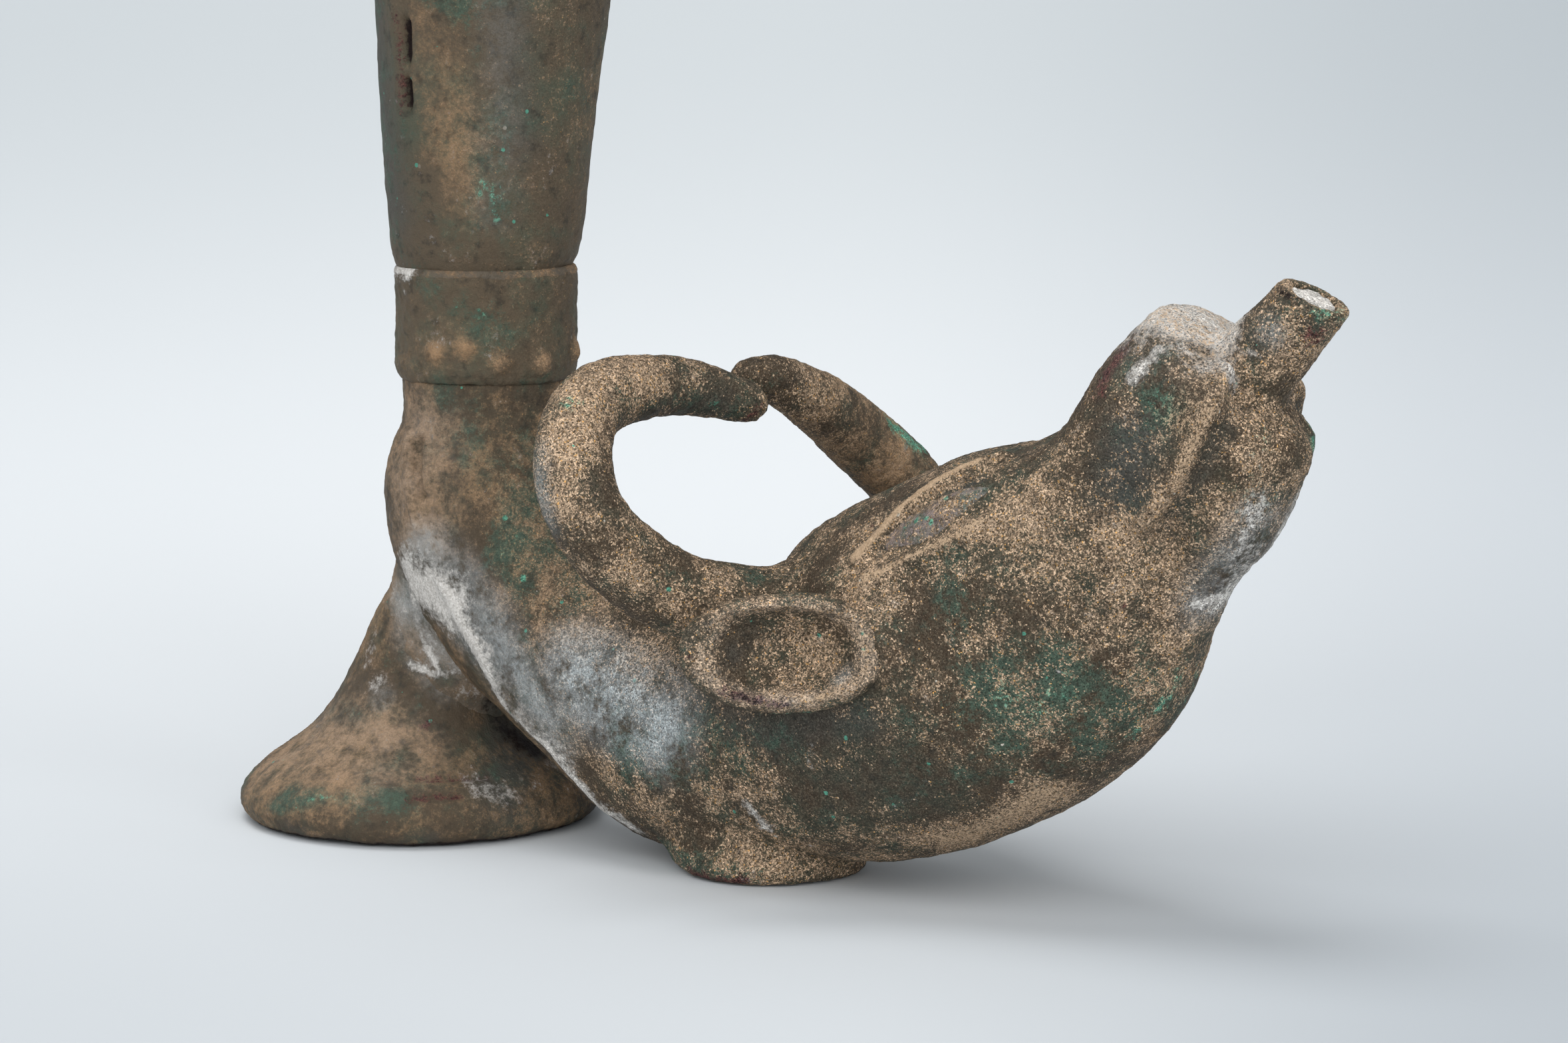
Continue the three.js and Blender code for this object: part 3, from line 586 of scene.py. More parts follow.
# lime over the nose and muzzle, partly real and partly a painted highlight on the muzzle's top
nose_lime_and_highlight = mirrored(
    (12, 0.96, (70.5, -5, 87.5), (76.6, -2, 85)),
    (7, 0.5, (72, -9, 84.8), (79, -7.5, 82)),
    (3.2, 0.7, (80, -6.2, 82), (81.6, -7, 79.2)),
)
nose_clay = mirrored((13, 0.38, (70.5, -5, 87), (77.5, -5, 84)))
paint(head, "lime", *nose_lime_and_highlight, *mirrored(
    # painted highlight on the nostril lobe, laid as lime
    (2.8, 0.66, (73.5, -11.6, 83.4), (70.7, -13.4, 80)),
    (5, 0.6, (85.7, -5.3, 62.3), (80, -2, 54), (76, 0, 49.7)),
    (5, 0.6, (83.5, -3.5, 59), (79, -1, 53.5), (75.5, 0, 49)),
    (2.6, 0.8, (75.7, -1.4, 49.5), (74.6, -4, 48.3)),
    (0.9, 1, (60.9, -16.4, 38.4)),
    (2.4, 0.62, (8, -16.8, 13), (9.8, -14.8, 10)),
))
# pale bluish film on the nose, the jaw and behind the ear, partly a deposit and partly painted sheen
paint(head, "haze_and_sheen", *mirrored(
    (14, 0.12, (69.5, -7, 87), (77, -5, 84.5)),
    (7, 0.5, (84, -4, 61), (76, -3, 48)),
    (12, 1, (-24, -16.5, 29), (-8, -17.3, 24)),
))
paint(head, "teal", *mirrored(
    (9, 0.35, (25, -16, 52)),
    (9, 0.4, (2, -18.5, 22), (12, -20, 20)),
    (4.5, 0.5, (45.7, -20.2, 53), (48, -21.1, 44)),
    (13, 0.85, (51.5, -19.2, 33), (58, -16, 33), (67, -10, 34)),
    (8, 0.4, (71, -8, 40)),
    (9, 0.45, (2, -18.7, 18)),
    (6, 0.55, (75, -14.3, 76.5)),
    (6, 0.4, (84, -6, 68), (88, -4, 70)),
))
paint(head, "malachite", *mirrored(
    (10, 0.3, (53, -18.8, 34), (63, -13, 33)),
    (5, 0.44, (75.5, -14, 76.5)),
    (8, 0.4, (87.5, -7, 70), (85.5, -7, 64)),
    (5, 0.38, (71.5, -2.9, 36.6), (69.3, -3.7, 31.8), (66, -5.4, 28)),
))
paint(head, "cuprite", *mirrored(
    (3.8, 0.68, (67.8, -7, 85), (66.3, -10.5, 81.6), (65.5, -12.6, 77.5)),
    (1.2, 0.7, (28.4, -14.5, 55.9)),
    (1, 0.7, (69, -12.5, 48)),
    (0.9, 0.7, (52, -19.5, 52)),
))
# dark grey coat: partly a real dark patch and partly painted shade in the muzzle's hollow; painted shade
# along the mouth cut, under the ear and in the groove under the upper lid; partly painted shade under the
# belly; and a thin dark band above the upper lid
paint(head, "slate_and_shade", *mirrored(
    (8, 0.95, (72, -15.9, 72), (70, -16.1, 64)),
    (3, 0.4, *mouth_cut),
    (6, 0.6, (1, -18, 27), (6.7, -19, 26), (13.5, -20, 25), (20, -21, 27), (32, -21.6, 29.5)),
    (3.5, 0.2, (27, -15, 53), (34, -12.5, 60), (42, -9.5, 65)),
    (13, 0.12, (26, -20, 21), (38, -17.5, 18)),
    (1.6, 0.9, *lid_groove),
))
# tan crust; along the lip ridge it is partly a painted highlight, and under the belly it is thinned, partly
# for painted shade
paint(head, "earth_and_highlight", *mirrored(
    (4, 0.5, *upper_lid),
    (3, 0.3, *lower_lid),
    (2.4, 0.5, *lip_ridge),
    (9, 0.55, (71.6, -13.2, 56.5), (76, -9, 46)),
    (7, 0.7, (37, -8.5, 10.3), (44.5, -8, 13.3), (54, -8.3, 19)),
    (17, -0.42, (22, -19.7, 19), (36, -17.5, 20)),
    (5, 0.35, (14, -19.8, 22)),
    (7, 0.3, (27, -19, 48), (33, -17.5, 53)),
    (9, -0.2, (45, -9, 68), (55, -8, 69)),
    (9, 0.3, (86, -6, 74), (84, -8, 62)),
    (7, 0.45, (28, -15.5, 54), (31, -17, 53)),
    (8, 0.25, (75, -6, 44), (70, -8, 38)),
    (12, 0.35, (70, -6, 87), (78, -5, 83)),
))
# smooth tan on the nose, lids, muzzle and under the throat; along the lip ridge it is partly a painted
# highlight
paint(head, "clay_and_highlight", *nose_clay, *mirrored(
    (1.1, 1, *upper_lid[:-1]),
    (1.1, 0.5, *lower_lid),
    (2, 0.42, *lip_ridge[1:4]),
    (6, 0.45, (37, -8.5, 10.3), (44.5, -8, 13.3), (54, -8.3, 19)),
    (5, 0.4, (79, -11, 78), (77, -13, 74)),
))
emboss(head, (12, 1.9, (75, 0, 48), (80.5, 0, 55)), *mirrored(
    (1.7, 1.1, *upper_lid),
    (2.2, -1, *lid_groove),
    (2.2, 1, *lower_lid),
    (4, 1.6, *lip_ridge),
    (4.6, -1.5, *mouth_cut),
    (10, 1.8, (31, -23, 43), (25, -22, 47)),
    (9, -1.4, (73, -15, 73), (69, -16, 64)),
    (6, 1, (84, -7.5, 68), (80, -8, 57)),
    (4, -0.8, (88, -5, 73), (86, -6, 64)),
))
roughen(head, CAST_LUMPS)
fit(head, cast_patina, "cast_bronze", "head")

# Eyes: a pair of almond inlays of a purplish alloy, bedded in pockets under the cut lids.
# They stand a little proud of the skin and are flecked with bright malachite.
EYE_STATION = 8.9
EYE_ANGLE = 35
EYE_LENGTH = 19.5
EYE_WIDTH = 7
EYE_SIDES = 24
EYE_RINGS = [(0.8, -1.2), (0.98, -0.6), (1, -0.1), (0.88, 0.35), (0.62, 0.7), (0.3, 0.85)]
EYE_POINT = 0.25
EYE_LUMPS = [(2, 0.25), (0.9, 0.12)]
EYE_PURPLE = (0.25, 0.2, 0.19)
EYE_GREY = (0.17, 0.19, 0.17)
EYE_COVER = -0.2
EYE_FLECKS = [
    (39.9, 18.2, 58.5), (42.3, 16.8, 61.4), (35.6, 18, 56.7),
    (45.2, 16.6, 62.7), (41.2, 18.8, 58), (38, 18, 58),
]


def unit(vector):
    return vector / np.linalg.norm(vector)


def head_seat(station, degrees, side):
    """A seat on the head's right (-1) or left (+1): its place, and the ways out of and along the skin."""
    angle = math.radians(degrees) if side > 0 else math.pi - math.radians(degrees)
    across = cast_point(station, angle + SLOPE_STEP) - cast_point(station, angle - SLOPE_STEP)
    along = cast_point(station + SLOPE_STEP, angle) - cast_point(station - SLOPE_STEP, angle)
    return cast_point(station, angle), unit(np.cross(across, along)), unit(along)


def skin_of(*pieces):
    """The skins of finished pieces, to find where other pieces meet them, in mm."""
    corners = []
    faces = []
    for piece in pieces:
        start = len(corners)
        corners += [Vector(point) for point in corner_values(piece, "co") / MM]
        faces += [[start + corner for corner in face.vertices] for face in piece.data.polygons]
    return BVHTree.FromPolygons(corners, faces)


cast_skin = skin_of(neck, head)
eye_patina = patina("eye_inlay", EYE_PURPLE, EYE_GREY, EYE_COVER)
for hand, side in (("right", -1), ("left", 1)):
    place, out, along = head_seat(EYE_STATION, EYE_ANGLE, side)
    across = np.cross(out, along)
    rings = []
    for share, height in EYE_RINGS:
        ring = []
        for angle in turns(EYE_SIDES):
            p = share * EYE_LENGTH / 2 * math.cos(angle)
            q = share * EYE_WIDTH / 2 * math.sin(angle) * (EYE_POINT + (1 - EYE_POINT) * abs(math.sin(angle)))
            skin, normal, _, _ = cast_skin.find_nearest(Vector(place + along * p + across * q))
            ring.append(skin + normal * height)
        rings.append(ring)
    eye = loft(f"{hand}_eye", rings, 3)
    roughen(eye, EYE_LUMPS)
    paint(eye, "malachite", *((1.3, 0.9, (x, y * side, z)) for x, y, z in EYE_FLECKS))
    paint(eye, "teal", (5, 0.5, (37, 18 * side, 57)), (5, 0.5, (45, 17 * side, 62)))
    fit(eye, eye_patina, "eye_inlay", f"{hand}_eye")

# Horns: two tapered bronze rods, tenoned and brazed into the crown and bent by hand until their tips cross.
# Each root spreads on the head in a smooth fillet of braze.
HORN_STATION = 6.95
HORN_ANGLE = 46
HORN_SIDES = 16
HORN_RINGS = 34
HORN_FINE_STEPS = 300
HORN_ROOT_RADIUS = 6.5
HORN_MIDDLE_RADIUS = 5.8
HORN_TIP_RADIUS = 3.2
HORN_FILLET = (4.5, 4.5)
HORN_PATHS = {
    "right": [
        (1, -26, 45.4), (-6.4, -37.3, 58.5), (-10.7, -31.1, 71),
        (-9.5, -16, 73.6), (-6, -6, 71.8), (-3.4, -1.5, 70.2),
    ],
    "left": [
        (7, 28.7, 45.5), (-0.2, 37.1, 53), (-3.9, 29.5, 61.2),
        (-4.4, 16.5, 69), (-5.6, 7.2, 72.9), (-6.4, 3.4, 73),
    ],
}
FILLET_STEPS = (0.3, 0.55, 0.8)
SKIRT_DEPTH = 1.2
SKIRT_SINK = 0.12
FIRST_RIGHT = (0.3, 0.5, 0.8)


def horn_radius(u):
    """The radius at a share of the horn's length: it falls slowly to the middle, then faster to the tip."""
    if u < 0.5:
        return HORN_ROOT_RADIUS + (HORN_MIDDLE_RADIUS - HORN_ROOT_RADIUS) * 2 * u
    return HORN_MIDDLE_RADIUS + (HORN_TIP_RADIUS - HORN_MIDDLE_RADIUS) * (2 * u - 1) ** 2


def rod_rings(path, radii, sides):
    """Rings of a round rod along a path of points, kept from twisting, with a radius at each."""
    path = np.array(path)
    slopes = np.gradient(path, axis=0)
    right = unit(np.cross(slopes[0], FIRST_RIGHT))
    angle = turns(sides)
    rings = []
    for point, ahead, radius in zip(path, slopes, radii):
        ahead = unit(ahead)
        right = unit(right - ahead * (right @ ahead))
        up = np.cross(ahead, right)
        rings.append(point + radius * (np.cos(angle)[:, None] * right + np.sin(angle)[:, None] * up))
    return rings


def travelled(points):
    """How far each point lies along the line through them."""
    return np.concatenate([[0], np.cumsum(np.linalg.norm(np.diff(points, axis=0), axis=1))])


def rooted(skin, rings, out, up):
    """The rings of a rod that grows out of a skin: a fillet round its root, then its own way to its end.
    The rod's rings start inside the skin. Out and up are the fillet's reach on the skin and on the rod."""
    lines = np.array(rings).transpose(1, 0, 2)
    count = np.arange(len(rings))
    meets = []
    for line in lines:
        for k in reversed(count[1:]):
            outer = Vector(line[k])
            inner = Vector(line[k - 1])
            hit, normal, _, _ = skin.ray_cast(outer, inner - outer, (inner - outer).length)
            if hit is not None:
                break
        meets.append((k - (outer - hit).length / (outer - inner).length, hit, normal))
    middle = sum((hit for _, hit, _ in meets), Vector()) / len(meets)
    grown = [[] for _ in range(len(FILLET_STEPS) + 2 + len(rings))]
    for line, (start, hit, normal) in zip(lines, meets):
        travel = travelled(line)
        start = np.interp(np.interp(start, count, travel) + up, travel, count)
        steps = np.linspace(start, count[-1], len(count))
        way = np.stack([np.interp(steps, count, axis) for axis in line.T], 1)
        spread = hit - middle
        spread -= normal * spread.dot(normal)
        edge, slope, _, _ = skin.find_nearest(hit + spread.normalized() * out)
        edge -= slope * SKIRT_SINK
        top = Vector(way[0])
        bend = [edge * (1 - t) ** 2 + hit * 2 * t * (1 - t) + top * t**2 for t in FILLET_STEPS]
        for ring, point in zip(grown, [edge - slope * SKIRT_DEPTH, edge, *bend, *way]):
            ring.append(point)
    return grown


for hand, side in (("right", -1), ("left", 1)):
    place, out, _ = head_seat(HORN_STATION, HORN_ANGLE, side)
    bends = np.array([place - out * HORN_ROOT_RADIUS, *HORN_PATHS[hand]])
    stations = np.linspace(0, len(bends) - 1, HORN_FINE_STEPS)
    fine = np.array([through(bends, station, 0.5) for station in stations])
    travel = travelled(fine)
    shares = np.linspace(0, 1, HORN_RINGS)
    path = [[np.interp(u * travel[-1], travel, axis) for axis in fine.T] for u in shares]
    onward = unit(fine[-1] - fine[-2])
    path += [path[-1] + onward * HORN_TIP_RADIUS * math.sin(math.radians(step)) for step in DOME_STEPS]
    radii = [horn_radius(u) for u in shares]
    radii += [HORN_TIP_RADIUS * math.cos(math.radians(step)) for step in DOME_STEPS]
    rings = rod_rings(path, radii, HORN_SIDES)
    horn = loft(f"{hand}_horn", rooted(cast_skin, rings, *HORN_FILLET), 3)
    roughen(horn, CAST_LUMPS)
    paint(
        horn, "malachite",
        (4, 0.4, (-9, -37, 73)), (3, 0.34, (-3, -4, 72.5)), (3, 0.4, (-4, -9, 71)),
        (5, 0.65, (2, 36.4, 60), (1, 30.5, 64)),
    )
    paint(
        horn, "teal",
        (7, 0.4, (-9.4, -37, 72)), (5, 0.5, (-4, 5, 73)), (9, 0.55, (2, 33, 60)), (8, 0.4, (-5, -17, 72)),
    )
    paint(horn, "cuprite", (2.5, 0.6, (-2.8, -2.8, 68), (-1, -2.2, 70)))
    paint(horn, "slate_and_shade", (4, 0.7, (-10, -43, 62), (-8, -42, 55)), (5, 0.5, (-6, -20, 70), (-3, -8, 70)))
    # painted sheen along the outer bend of the right horn
    paint(horn, "haze_and_sheen", (4, 0.35, (-11, -42, 66), (-9, -43, 57)))
    paint(
        horn, "earth_and_highlight",
        (8, 0.32, (1, -37, 50), (8, -27, 43)), (7, 0.4, (-6.9, -38.5, 70), (-6, -42, 59)),
        (9, 0.66, (-6.6, -22, 76.4), (-8.7, -30, 76.7), (-7.2, -37, 71.5)),
        (8, 0.6, (-5, 12, 72), (-4, 24, 66), (0, 34, 58)),
    )
    fit(horn, cast_patina, "cast_bronze", f"{hand}_horn")

# Ears: spoon-shaped castings that lie back along the cheeks, their hollows forward, brazed behind the eyes.
# The rim of the right one has scaled away below and shows red cuprite.
EAR_STATION = 7.85
EAR_ANGLE = 7
EAR_SWEEP = (-0.88, 0.47, -0.04)
EAR_LENGTH = 30.5
EAR_WIDTH = 17.2
EAR_SEAT_DEPTH = 4.5
EAR_BACK = 4.8
EAR_RIM_HEIGHT = 3.4
EAR_CUP = 6.2
EAR_CUP_MIDDLE = -0.04
EAR_CUP_REACH = 0.64
EAR_CRESTS = (0.78, 0.66)
EAR_SIDES = 40
EAR_STEPS = (
    -0.99, -0.95, -0.87, -0.77, -0.67, -0.56, -0.42, -0.25, -0.08,
    0.1, 0.26, 0.4, 0.52, 0.62, 0.74, 0.84, 0.92, 0.98,
)
# places on an ear: how far along it, below its middle and in front of it
EAR_TIP = (13.5, 0, 1.5)
EAR_TUFT = (6, -6.6, 2.2)
EAR_SCAR = [(8.5, 5, 2.6), (4, 6.4, 2.6), (0, 6.9, 2.6)]
EAR_RIM = [(12.3 * math.cos(turn), 6.6 * math.sin(turn), 3) for turn in np.linspace(0, 2 * np.pi, 17)]
EAR_LOWER_RIM = EAR_RIM[5:13]
EAR_COATS = {
    "teal": [(4, 0.9, EAR_TUFT), (4, 0.5, (-4, 8.4, 0))],
    "malachite": [(1.5, 0.8, (2, 8.4, 0), (-3, 8.6, 0)), (3, 0.4, EAR_TUFT)],
    "cuprite": [(2.1, 0.66, *EAR_SCAR), (1.8, 0.6, EAR_TIP)],
    "pit_and_shade": [(1.4, 0.5, *EAR_SCAR[:2]), (1.5, 0.5, (13.5, 0, 2.5))],
    # painted shade in the hollow
    "slate_and_shade": [(6, 0.3, (4, -2, 0)), (3.6, 0.6, (7.5, 0, 0))],
    # the rim stroke is a painted highlight; the other is a pale smear in the hollow
    "haze_and_sheen": [(3.4, 0.14, *EAR_RIM), (2.6, 0.6, (-8, 5, 0), (-11.5, 1.5, 0))],
    # the rim stroke is a painted highlight; the other is tan in the hollow
    "earth_and_highlight": [(3.2, 0.5, *EAR_RIM), (7, 0.5, (-2, 0, 0))],
    # painted highlight on the lower rim
    "clay_and_highlight": [(1.7, 0.44, *EAR_LOWER_RIM)],
}


def ear_ring(s, side):
    """A slice across the ear at a share of its half length: a bowed back, two rims and the hollow between.
    The hollow has a rim all round, and the lower rim is the broader one."""
    swell = math.sqrt(1 - abs(s) ** 2.3)
    angle = turns(EAR_SIDES)
    c = np.cos(angle)
    crest = np.where(c * side > 0, *EAR_CRESTS)
    rim = EAR_RIM_HEIGHT * np.sqrt(np.clip((1 - np.abs(c)) / (1 - crest), 0, 1)) * swell**0.6
    hollow = np.clip(1 - ((s - EAR_CUP_MIDDLE) / EAR_CUP_REACH) ** 2, 0, 1)
    hollow = hollow * np.clip(1 - (c / crest) ** 2, 0, 1)
    back = EAR_BACK * np.sin(angle) * swell**0.7
    return swell * c * EAR_WIDTH / 2, np.where(np.sin(angle) < 0, back, rim - EAR_CUP * hollow**0.5)


for hand, side in (("right", -1), ("left", 1)):
    place, _, _ = head_seat(EAR_STATION, EAR_ANGLE, side)
    along = unit(np.array(EAR_SWEEP) * (1, side, 1))
    across = np.array((0, 0, side))
    across = unit(across - along * (across @ along))
    forward = np.cross(along, across)
    middle = place + along * (EAR_LENGTH / 2 - EAR_SEAT_DEPTH)
    rings = []
    for s in EAR_STEPS:
        wide, deep = ear_ring(s, side)
        rings.append(middle + along * s * EAR_LENGTH / 2 + wide[:, None] * across + deep[:, None] * forward)
    ear = loft(f"{hand}_ear", rings, 3)
    roughen(ear, CAST_LUMPS)
    axes = np.array([along, across * -side, forward])
    for coat, strokes in EAR_COATS.items():
        paint(ear, coat, *((*stroke[:2], *(middle + np.array(stroke[2:]) @ axes)) for stroke in strokes))
    fit(ear, cast_patina, "cast_bronze", f"{hand}_ear")

# Spout: a short tapered bronze pipe, let into the mouth and soldered round its root.
# Its end is choked by a plug of white lime.
SPOUT_DROP = 2.9
SPOUT_LENGTH = 12.8
SPOUT_ROOT_DEPTH = 4
SPOUT_ROOT_RADIUS = 6.5
SPOUT_TIP_RADIUS = 4.9
SPOUT_BORE = 3.3
SPOUT_SIDES = 32
SPOUT_SLANT = 0.3
SPOUT_STEPS = (-4, -2, 0, 2, 4, 6.5, 9, 11.2, 12.3)
SPOUT_LIP = [
    # height, radius
    (12.75, SPOUT_TIP_RADIUS - 0.5), (12.8, SPOUT_BORE + 0.4),
    (12.4, SPOUT_BORE), (6, SPOUT_BORE), (-3, SPOUT_BORE),
]
SPOUT_FILLET = (1.8, 2.4)
x, z, *_ = through(STATIONS, MUZZLE_STATION)
ahead = heading(MUZZLE_STATION)
spout_axis = np.array((ahead[0], 0, ahead[1]))
spout_base = np.array((x + SPOUT_DROP * ahead[1], 0, z - SPOUT_DROP * ahead[0])) + spout_axis * MUZZLE_DOME


def spout_ring(height, radius):
    """A ring round the spout's axis, at a height over the muzzle's dome."""
    angle = turns(SPOUT_SIDES)
    sideways = np.array((0, 1, 0))
    upwards = np.cross(spout_axis, sideways)
    ring = np.cos(angle)[:, None] * sideways + np.sin(angle)[:, None] * upwards
    slant = SPOUT_SLANT * radius * np.clip(height / SPOUT_LENGTH, 0, 1) ** 1.5 * (1 - np.sin(angle))
    return spout_base + (height + slant)[:, None] * spout_axis + radius * ring


def spout_radius(height):
    """The spout's outer radius: a straight taper from its root to its end."""
    share = (height + SPOUT_ROOT_DEPTH) / (SPOUT_LENGTH + SPOUT_ROOT_DEPTH)
    return SPOUT_ROOT_RADIUS + (SPOUT_TIP_RADIUS - SPOUT_ROOT_RADIUS) * share


rings = [spout_ring(height, spout_radius(height)) for height in SPOUT_STEPS]
lip_rings = [spout_ring(height, radius) for height, radius in SPOUT_LIP]
spout = loft("spout", rooted(cast_skin, rings, *SPOUT_FILLET) + lip_rings, 3)
roughen(spout, CAST_LUMPS)
# the nose's lime and painted highlight run onto the spout's root
paint(spout, "lime", *nose_lime_and_highlight, (2.5, 0.6, (85, -6, 83)))
paint(spout, "clay_and_highlight", *nose_clay)
paint(spout, "haze_and_sheen", (4, 0.4, (87, -4.5, 86)))
paint(spout, "cuprite", (3.6, 0.72, (92.6, -2.6, 86)), (2, 0.6, (86.6, -4.4, 91.8)), (4, 0.5, (92, 3, 86)))
paint(spout, "pit_and_shade", (1.8, 0.6, (86.6, -3.6, 92.4), (89, -4.6, 91.4), (91, -4.4, 90.2)))
paint(spout, "teal", (5, 0.5, (90, -4.8, 88.5), (94, -3, 88)), (4, 0.4, (84, -6, 83)))
paint(spout, "slate_and_shade", (7, 0.35, (84, -5, 85), (90, -4.4, 88)))
paint(spout, "malachite", (3.2, 0.56, (93, -4, 89), (95, -2, 88.5), (94, 3, 88)))
paint(spout, "earth_and_highlight", (9, 0.22, (85, -5, 81), (88, -4, 86)))
fit(spout, cast_patina, "cast_bronze", "spout")

# Spout plug: lime that settled out of the water in the ground and chokes the spout's end.
# It sits fast in the bore and has a rough, slightly sunken face.
PLUG_RINGS = [
    # height over the spout's end, share of the bore
    (-5, 0.6), (-4.5, 0.97), (-2, 0.98), (-0.3, 0.97), (0, 0.8), (0.1, 0.4)
]
PLUG_LUMPS = [(1.6, 0.7), (0.7, 0.3)]
PLUG_WHITE = (0.7, 0.67, 0.6)
PLUG_PALE = (0.8, 0.78, 0.73)
PLUG_COVER = -3
plug_patina = patina("lime_plug", PLUG_WHITE, PLUG_PALE, PLUG_COVER)
plug_rings = [spout_ring(SPOUT_LENGTH + height, SPOUT_BORE * share) for height, share in PLUG_RINGS]
plug = loft("spout_plug", plug_rings, 3)
roughen(plug, PLUG_LUMPS)
paint(plug, "lime", (9, 0.9, spout_base + spout_axis * SPOUT_LENGTH))
fit(plug, plug_patina, "lime", "spout_plug")

# Collar: a hammered bronze sleeve over the spigots of the neck and the beaker, soldered to both.
# Earth has caked in lumps above its lower edge.
COLLAR_MIDDLE = -54.8
COLLAR_SIDES = 32
COLLAR_OUTLINE = [
    (12.4, 70.6), (13.2, 70.6), (13.8, 71.3), (14.2, 72.8), (14.15, 75), (14.0, 78), (14.1, 82), (14.3, 85.5),
    (14.4, 86.9), (14.2, 87.3), (12.4, 87.3), (12.1, 86.6), (12.1, 79),
]
COLLAR_LUMPS = [
    (-53.3, -13.9, 75.6), (-48.5, -12.5, 76.6), (-44.5, -9, 74.2),
    (-41.2, -3.1, 74), (-42, 6, 75), (-50, 13, 75),
]
BEAKER_BROWN = (0.1, 0.074, 0.048)
BEAKER_OLIVE = (0.075, 0.085, 0.058)
BEAKER_COVER = -0.55
BEAKER_PATCHY = 0.55


def level_ring(x, z, radius, sides):
    """A level ring round a point of the mirror plane."""
    angle = turns(sides)
    return np.stack([x + radius * np.cos(angle), radius * np.sin(angle), np.full(sides, z)], 1)


rings = [level_ring(COLLAR_MIDDLE, z, radius, COLLAR_SIDES) for radius, z in COLLAR_OUTLINE]
collar = loft("collar", rings + rings[:1], 3)
beaker_patina = patina("beaker_patina", BEAKER_BROWN, BEAKER_OLIVE, BEAKER_COVER, BEAKER_PATCHY)
paint(collar, "malachite", (4, 0.42, (-46, -11, 83)), (3, 0.4, (-50, -13, 84)), (4, 0.4, (-58, 13.5, 82)))
paint(collar, "teal", (7, 0.45, (-45, -10, 80)), (8, 0.4, (-60, 12, 79)))
paint(collar, "earth_and_highlight", *((3, 0.75, lump) for lump in COLLAR_LUMPS))
paint(collar, "lime", (2, 0.5, (-65, -10, 86.8), (-59, -13.6, 86.8)), (1.6, 0.4, (-60, -13.4, 84.5)))
emboss(collar, *((2.6, 0.9, lump) for lump in COLLAR_LUMPS))
roughen(collar, CAST_LUMPS)
fit(collar, beaker_patina, "beaker_bronze", "collar")

# Collar seam: the bead of soft solder that closes the joint between the collar and the beaker's foot.
# It has gone grey, and lime has settled along it at the left.
SEAM_OUTLINE = [(12.3, 86.6), (14.1, 86.6), (14.35, 87.2), (14.15, 87.8), (13.7, 88.4), (12.3, 88.4)]
SEAM_LUMPS = [(3, 0.3), (1, 0.2)]
SOLDER_GREY = (0.12, 0.1, 0.078)
SOLDER_OLIVE = (0.075, 0.08, 0.062)
SOLDER_COVER = -0.1
rings = [level_ring(COLLAR_MIDDLE, z, radius, COLLAR_SIDES) for radius, z in SEAM_OUTLINE]
seam = loft("collar_seam", rings + rings[:1], 2)
roughen(seam, SEAM_LUMPS)
solder_patina = patina("grey_solder", SOLDER_GREY, SOLDER_OLIVE, SOLDER_COVER)
paint(seam, "lime", (3.6, 0.7, (-66, -9, 87.6), (-59, -13.6, 87.6)), (4, 0.4, (-48, 13, 87.6)))
fit(seam, solder_patina, "solder", "collar_seam")

# Beaker: the tall tube of cast bronze that leans a little towards the head and flares to its lip.
# Two slits have opened in its wall where the casting was thin, and its upper part is a guess.
BEAKER_SEAT = 87.9
BEAKER_HEIGHT = 163
BEAKER_LEAN = 2.3
BEAKER_FOOT_RADIUS = 14.7
BEAKER_TAPER = 4.8
BEAKER_FLARE = 7.5
BEAKER_FLARE_POWER = 5
BEAKER_WALL = 1.8
BEAKER_SIDES = 32
BEAKER_STEP = 8
BEAKER_FIRST_STEP = 5
BEAKER_LIP_ROOM = 4
BEAKER_HEEL = (1.1, 4.5)
BEAKER_FOOT_HEIGHTS = (0, 0.6, 2.2)
BEAKER_LIP_DEPTHS = (3, 0.6)
BEAKER_SPIGOT = 6
BEAKER_SPIGOT_RADIUS = 11.8
BEAKER_SHOULDER = 13
BEAKER_BORE = 10.2
BEAKER_BORE_HEIGHT = 2
BEAKER_LUMPS = [(22, 0.9), (5, 0.4), (1.6, 0.22)]
BEAKER_SLITS = [
    [(-55.3, -17.8, 125.6), (-55.6, -17.4, 120.4)],
    [(-55.8, -17, 116.9), (-56, -16.7, 113.5)],
]


def beaker_radius(h):
    """The outer radius at a height over the seat: a taper, a flare to the lip and a drawn-in heel."""
    flare = BEAKER_FLARE * (h / BEAKER_HEIGHT) ** BEAKER_FLARE_POWER
    heel = BEAKER_HEEL[0] * max(0, 1 - h / BEAKER_HEEL[1]) ** 2
    return BEAKER_FOOT_RADIUS + h * math.tan(math.radians(BEAKER_TAPER)) + flare - heel


def beaker_ring(h, radius):
    """A ring of the beaker at a height over its seat, moved over by the lean."""
    lean = max(0, h) * math.tan(math.radians(BEAKER_LEAN))
    return level_ring(COLLAR_MIDDLE + lean, BEAKER_SEAT + h, radius, BEAKER_SIDES)


heights = [*BEAKER_FOOT_HEIGHTS, *np.arange(BEAKER_FIRST_STEP, BEAKER_HEIGHT - BEAKER_LIP_ROOM, BEAKER_STEP)]
heights += [BEAKER_HEIGHT - depth for depth in BEAKER_LIP_DEPTHS]
rings = [beaker_ring(h, BEAKER_SPIGOT_RADIUS) for h in (-BEAKER_SPIGOT, 0)]
rings += [beaker_ring(0, BEAKER_SHOULDER)]
rings += [beaker_ring(h, beaker_radius(h)) for h in heights]
rings += [beaker_ring(BEAKER_HEIGHT, beaker_radius(BEAKER_HEIGHT) - BEAKER_WALL / 2)]
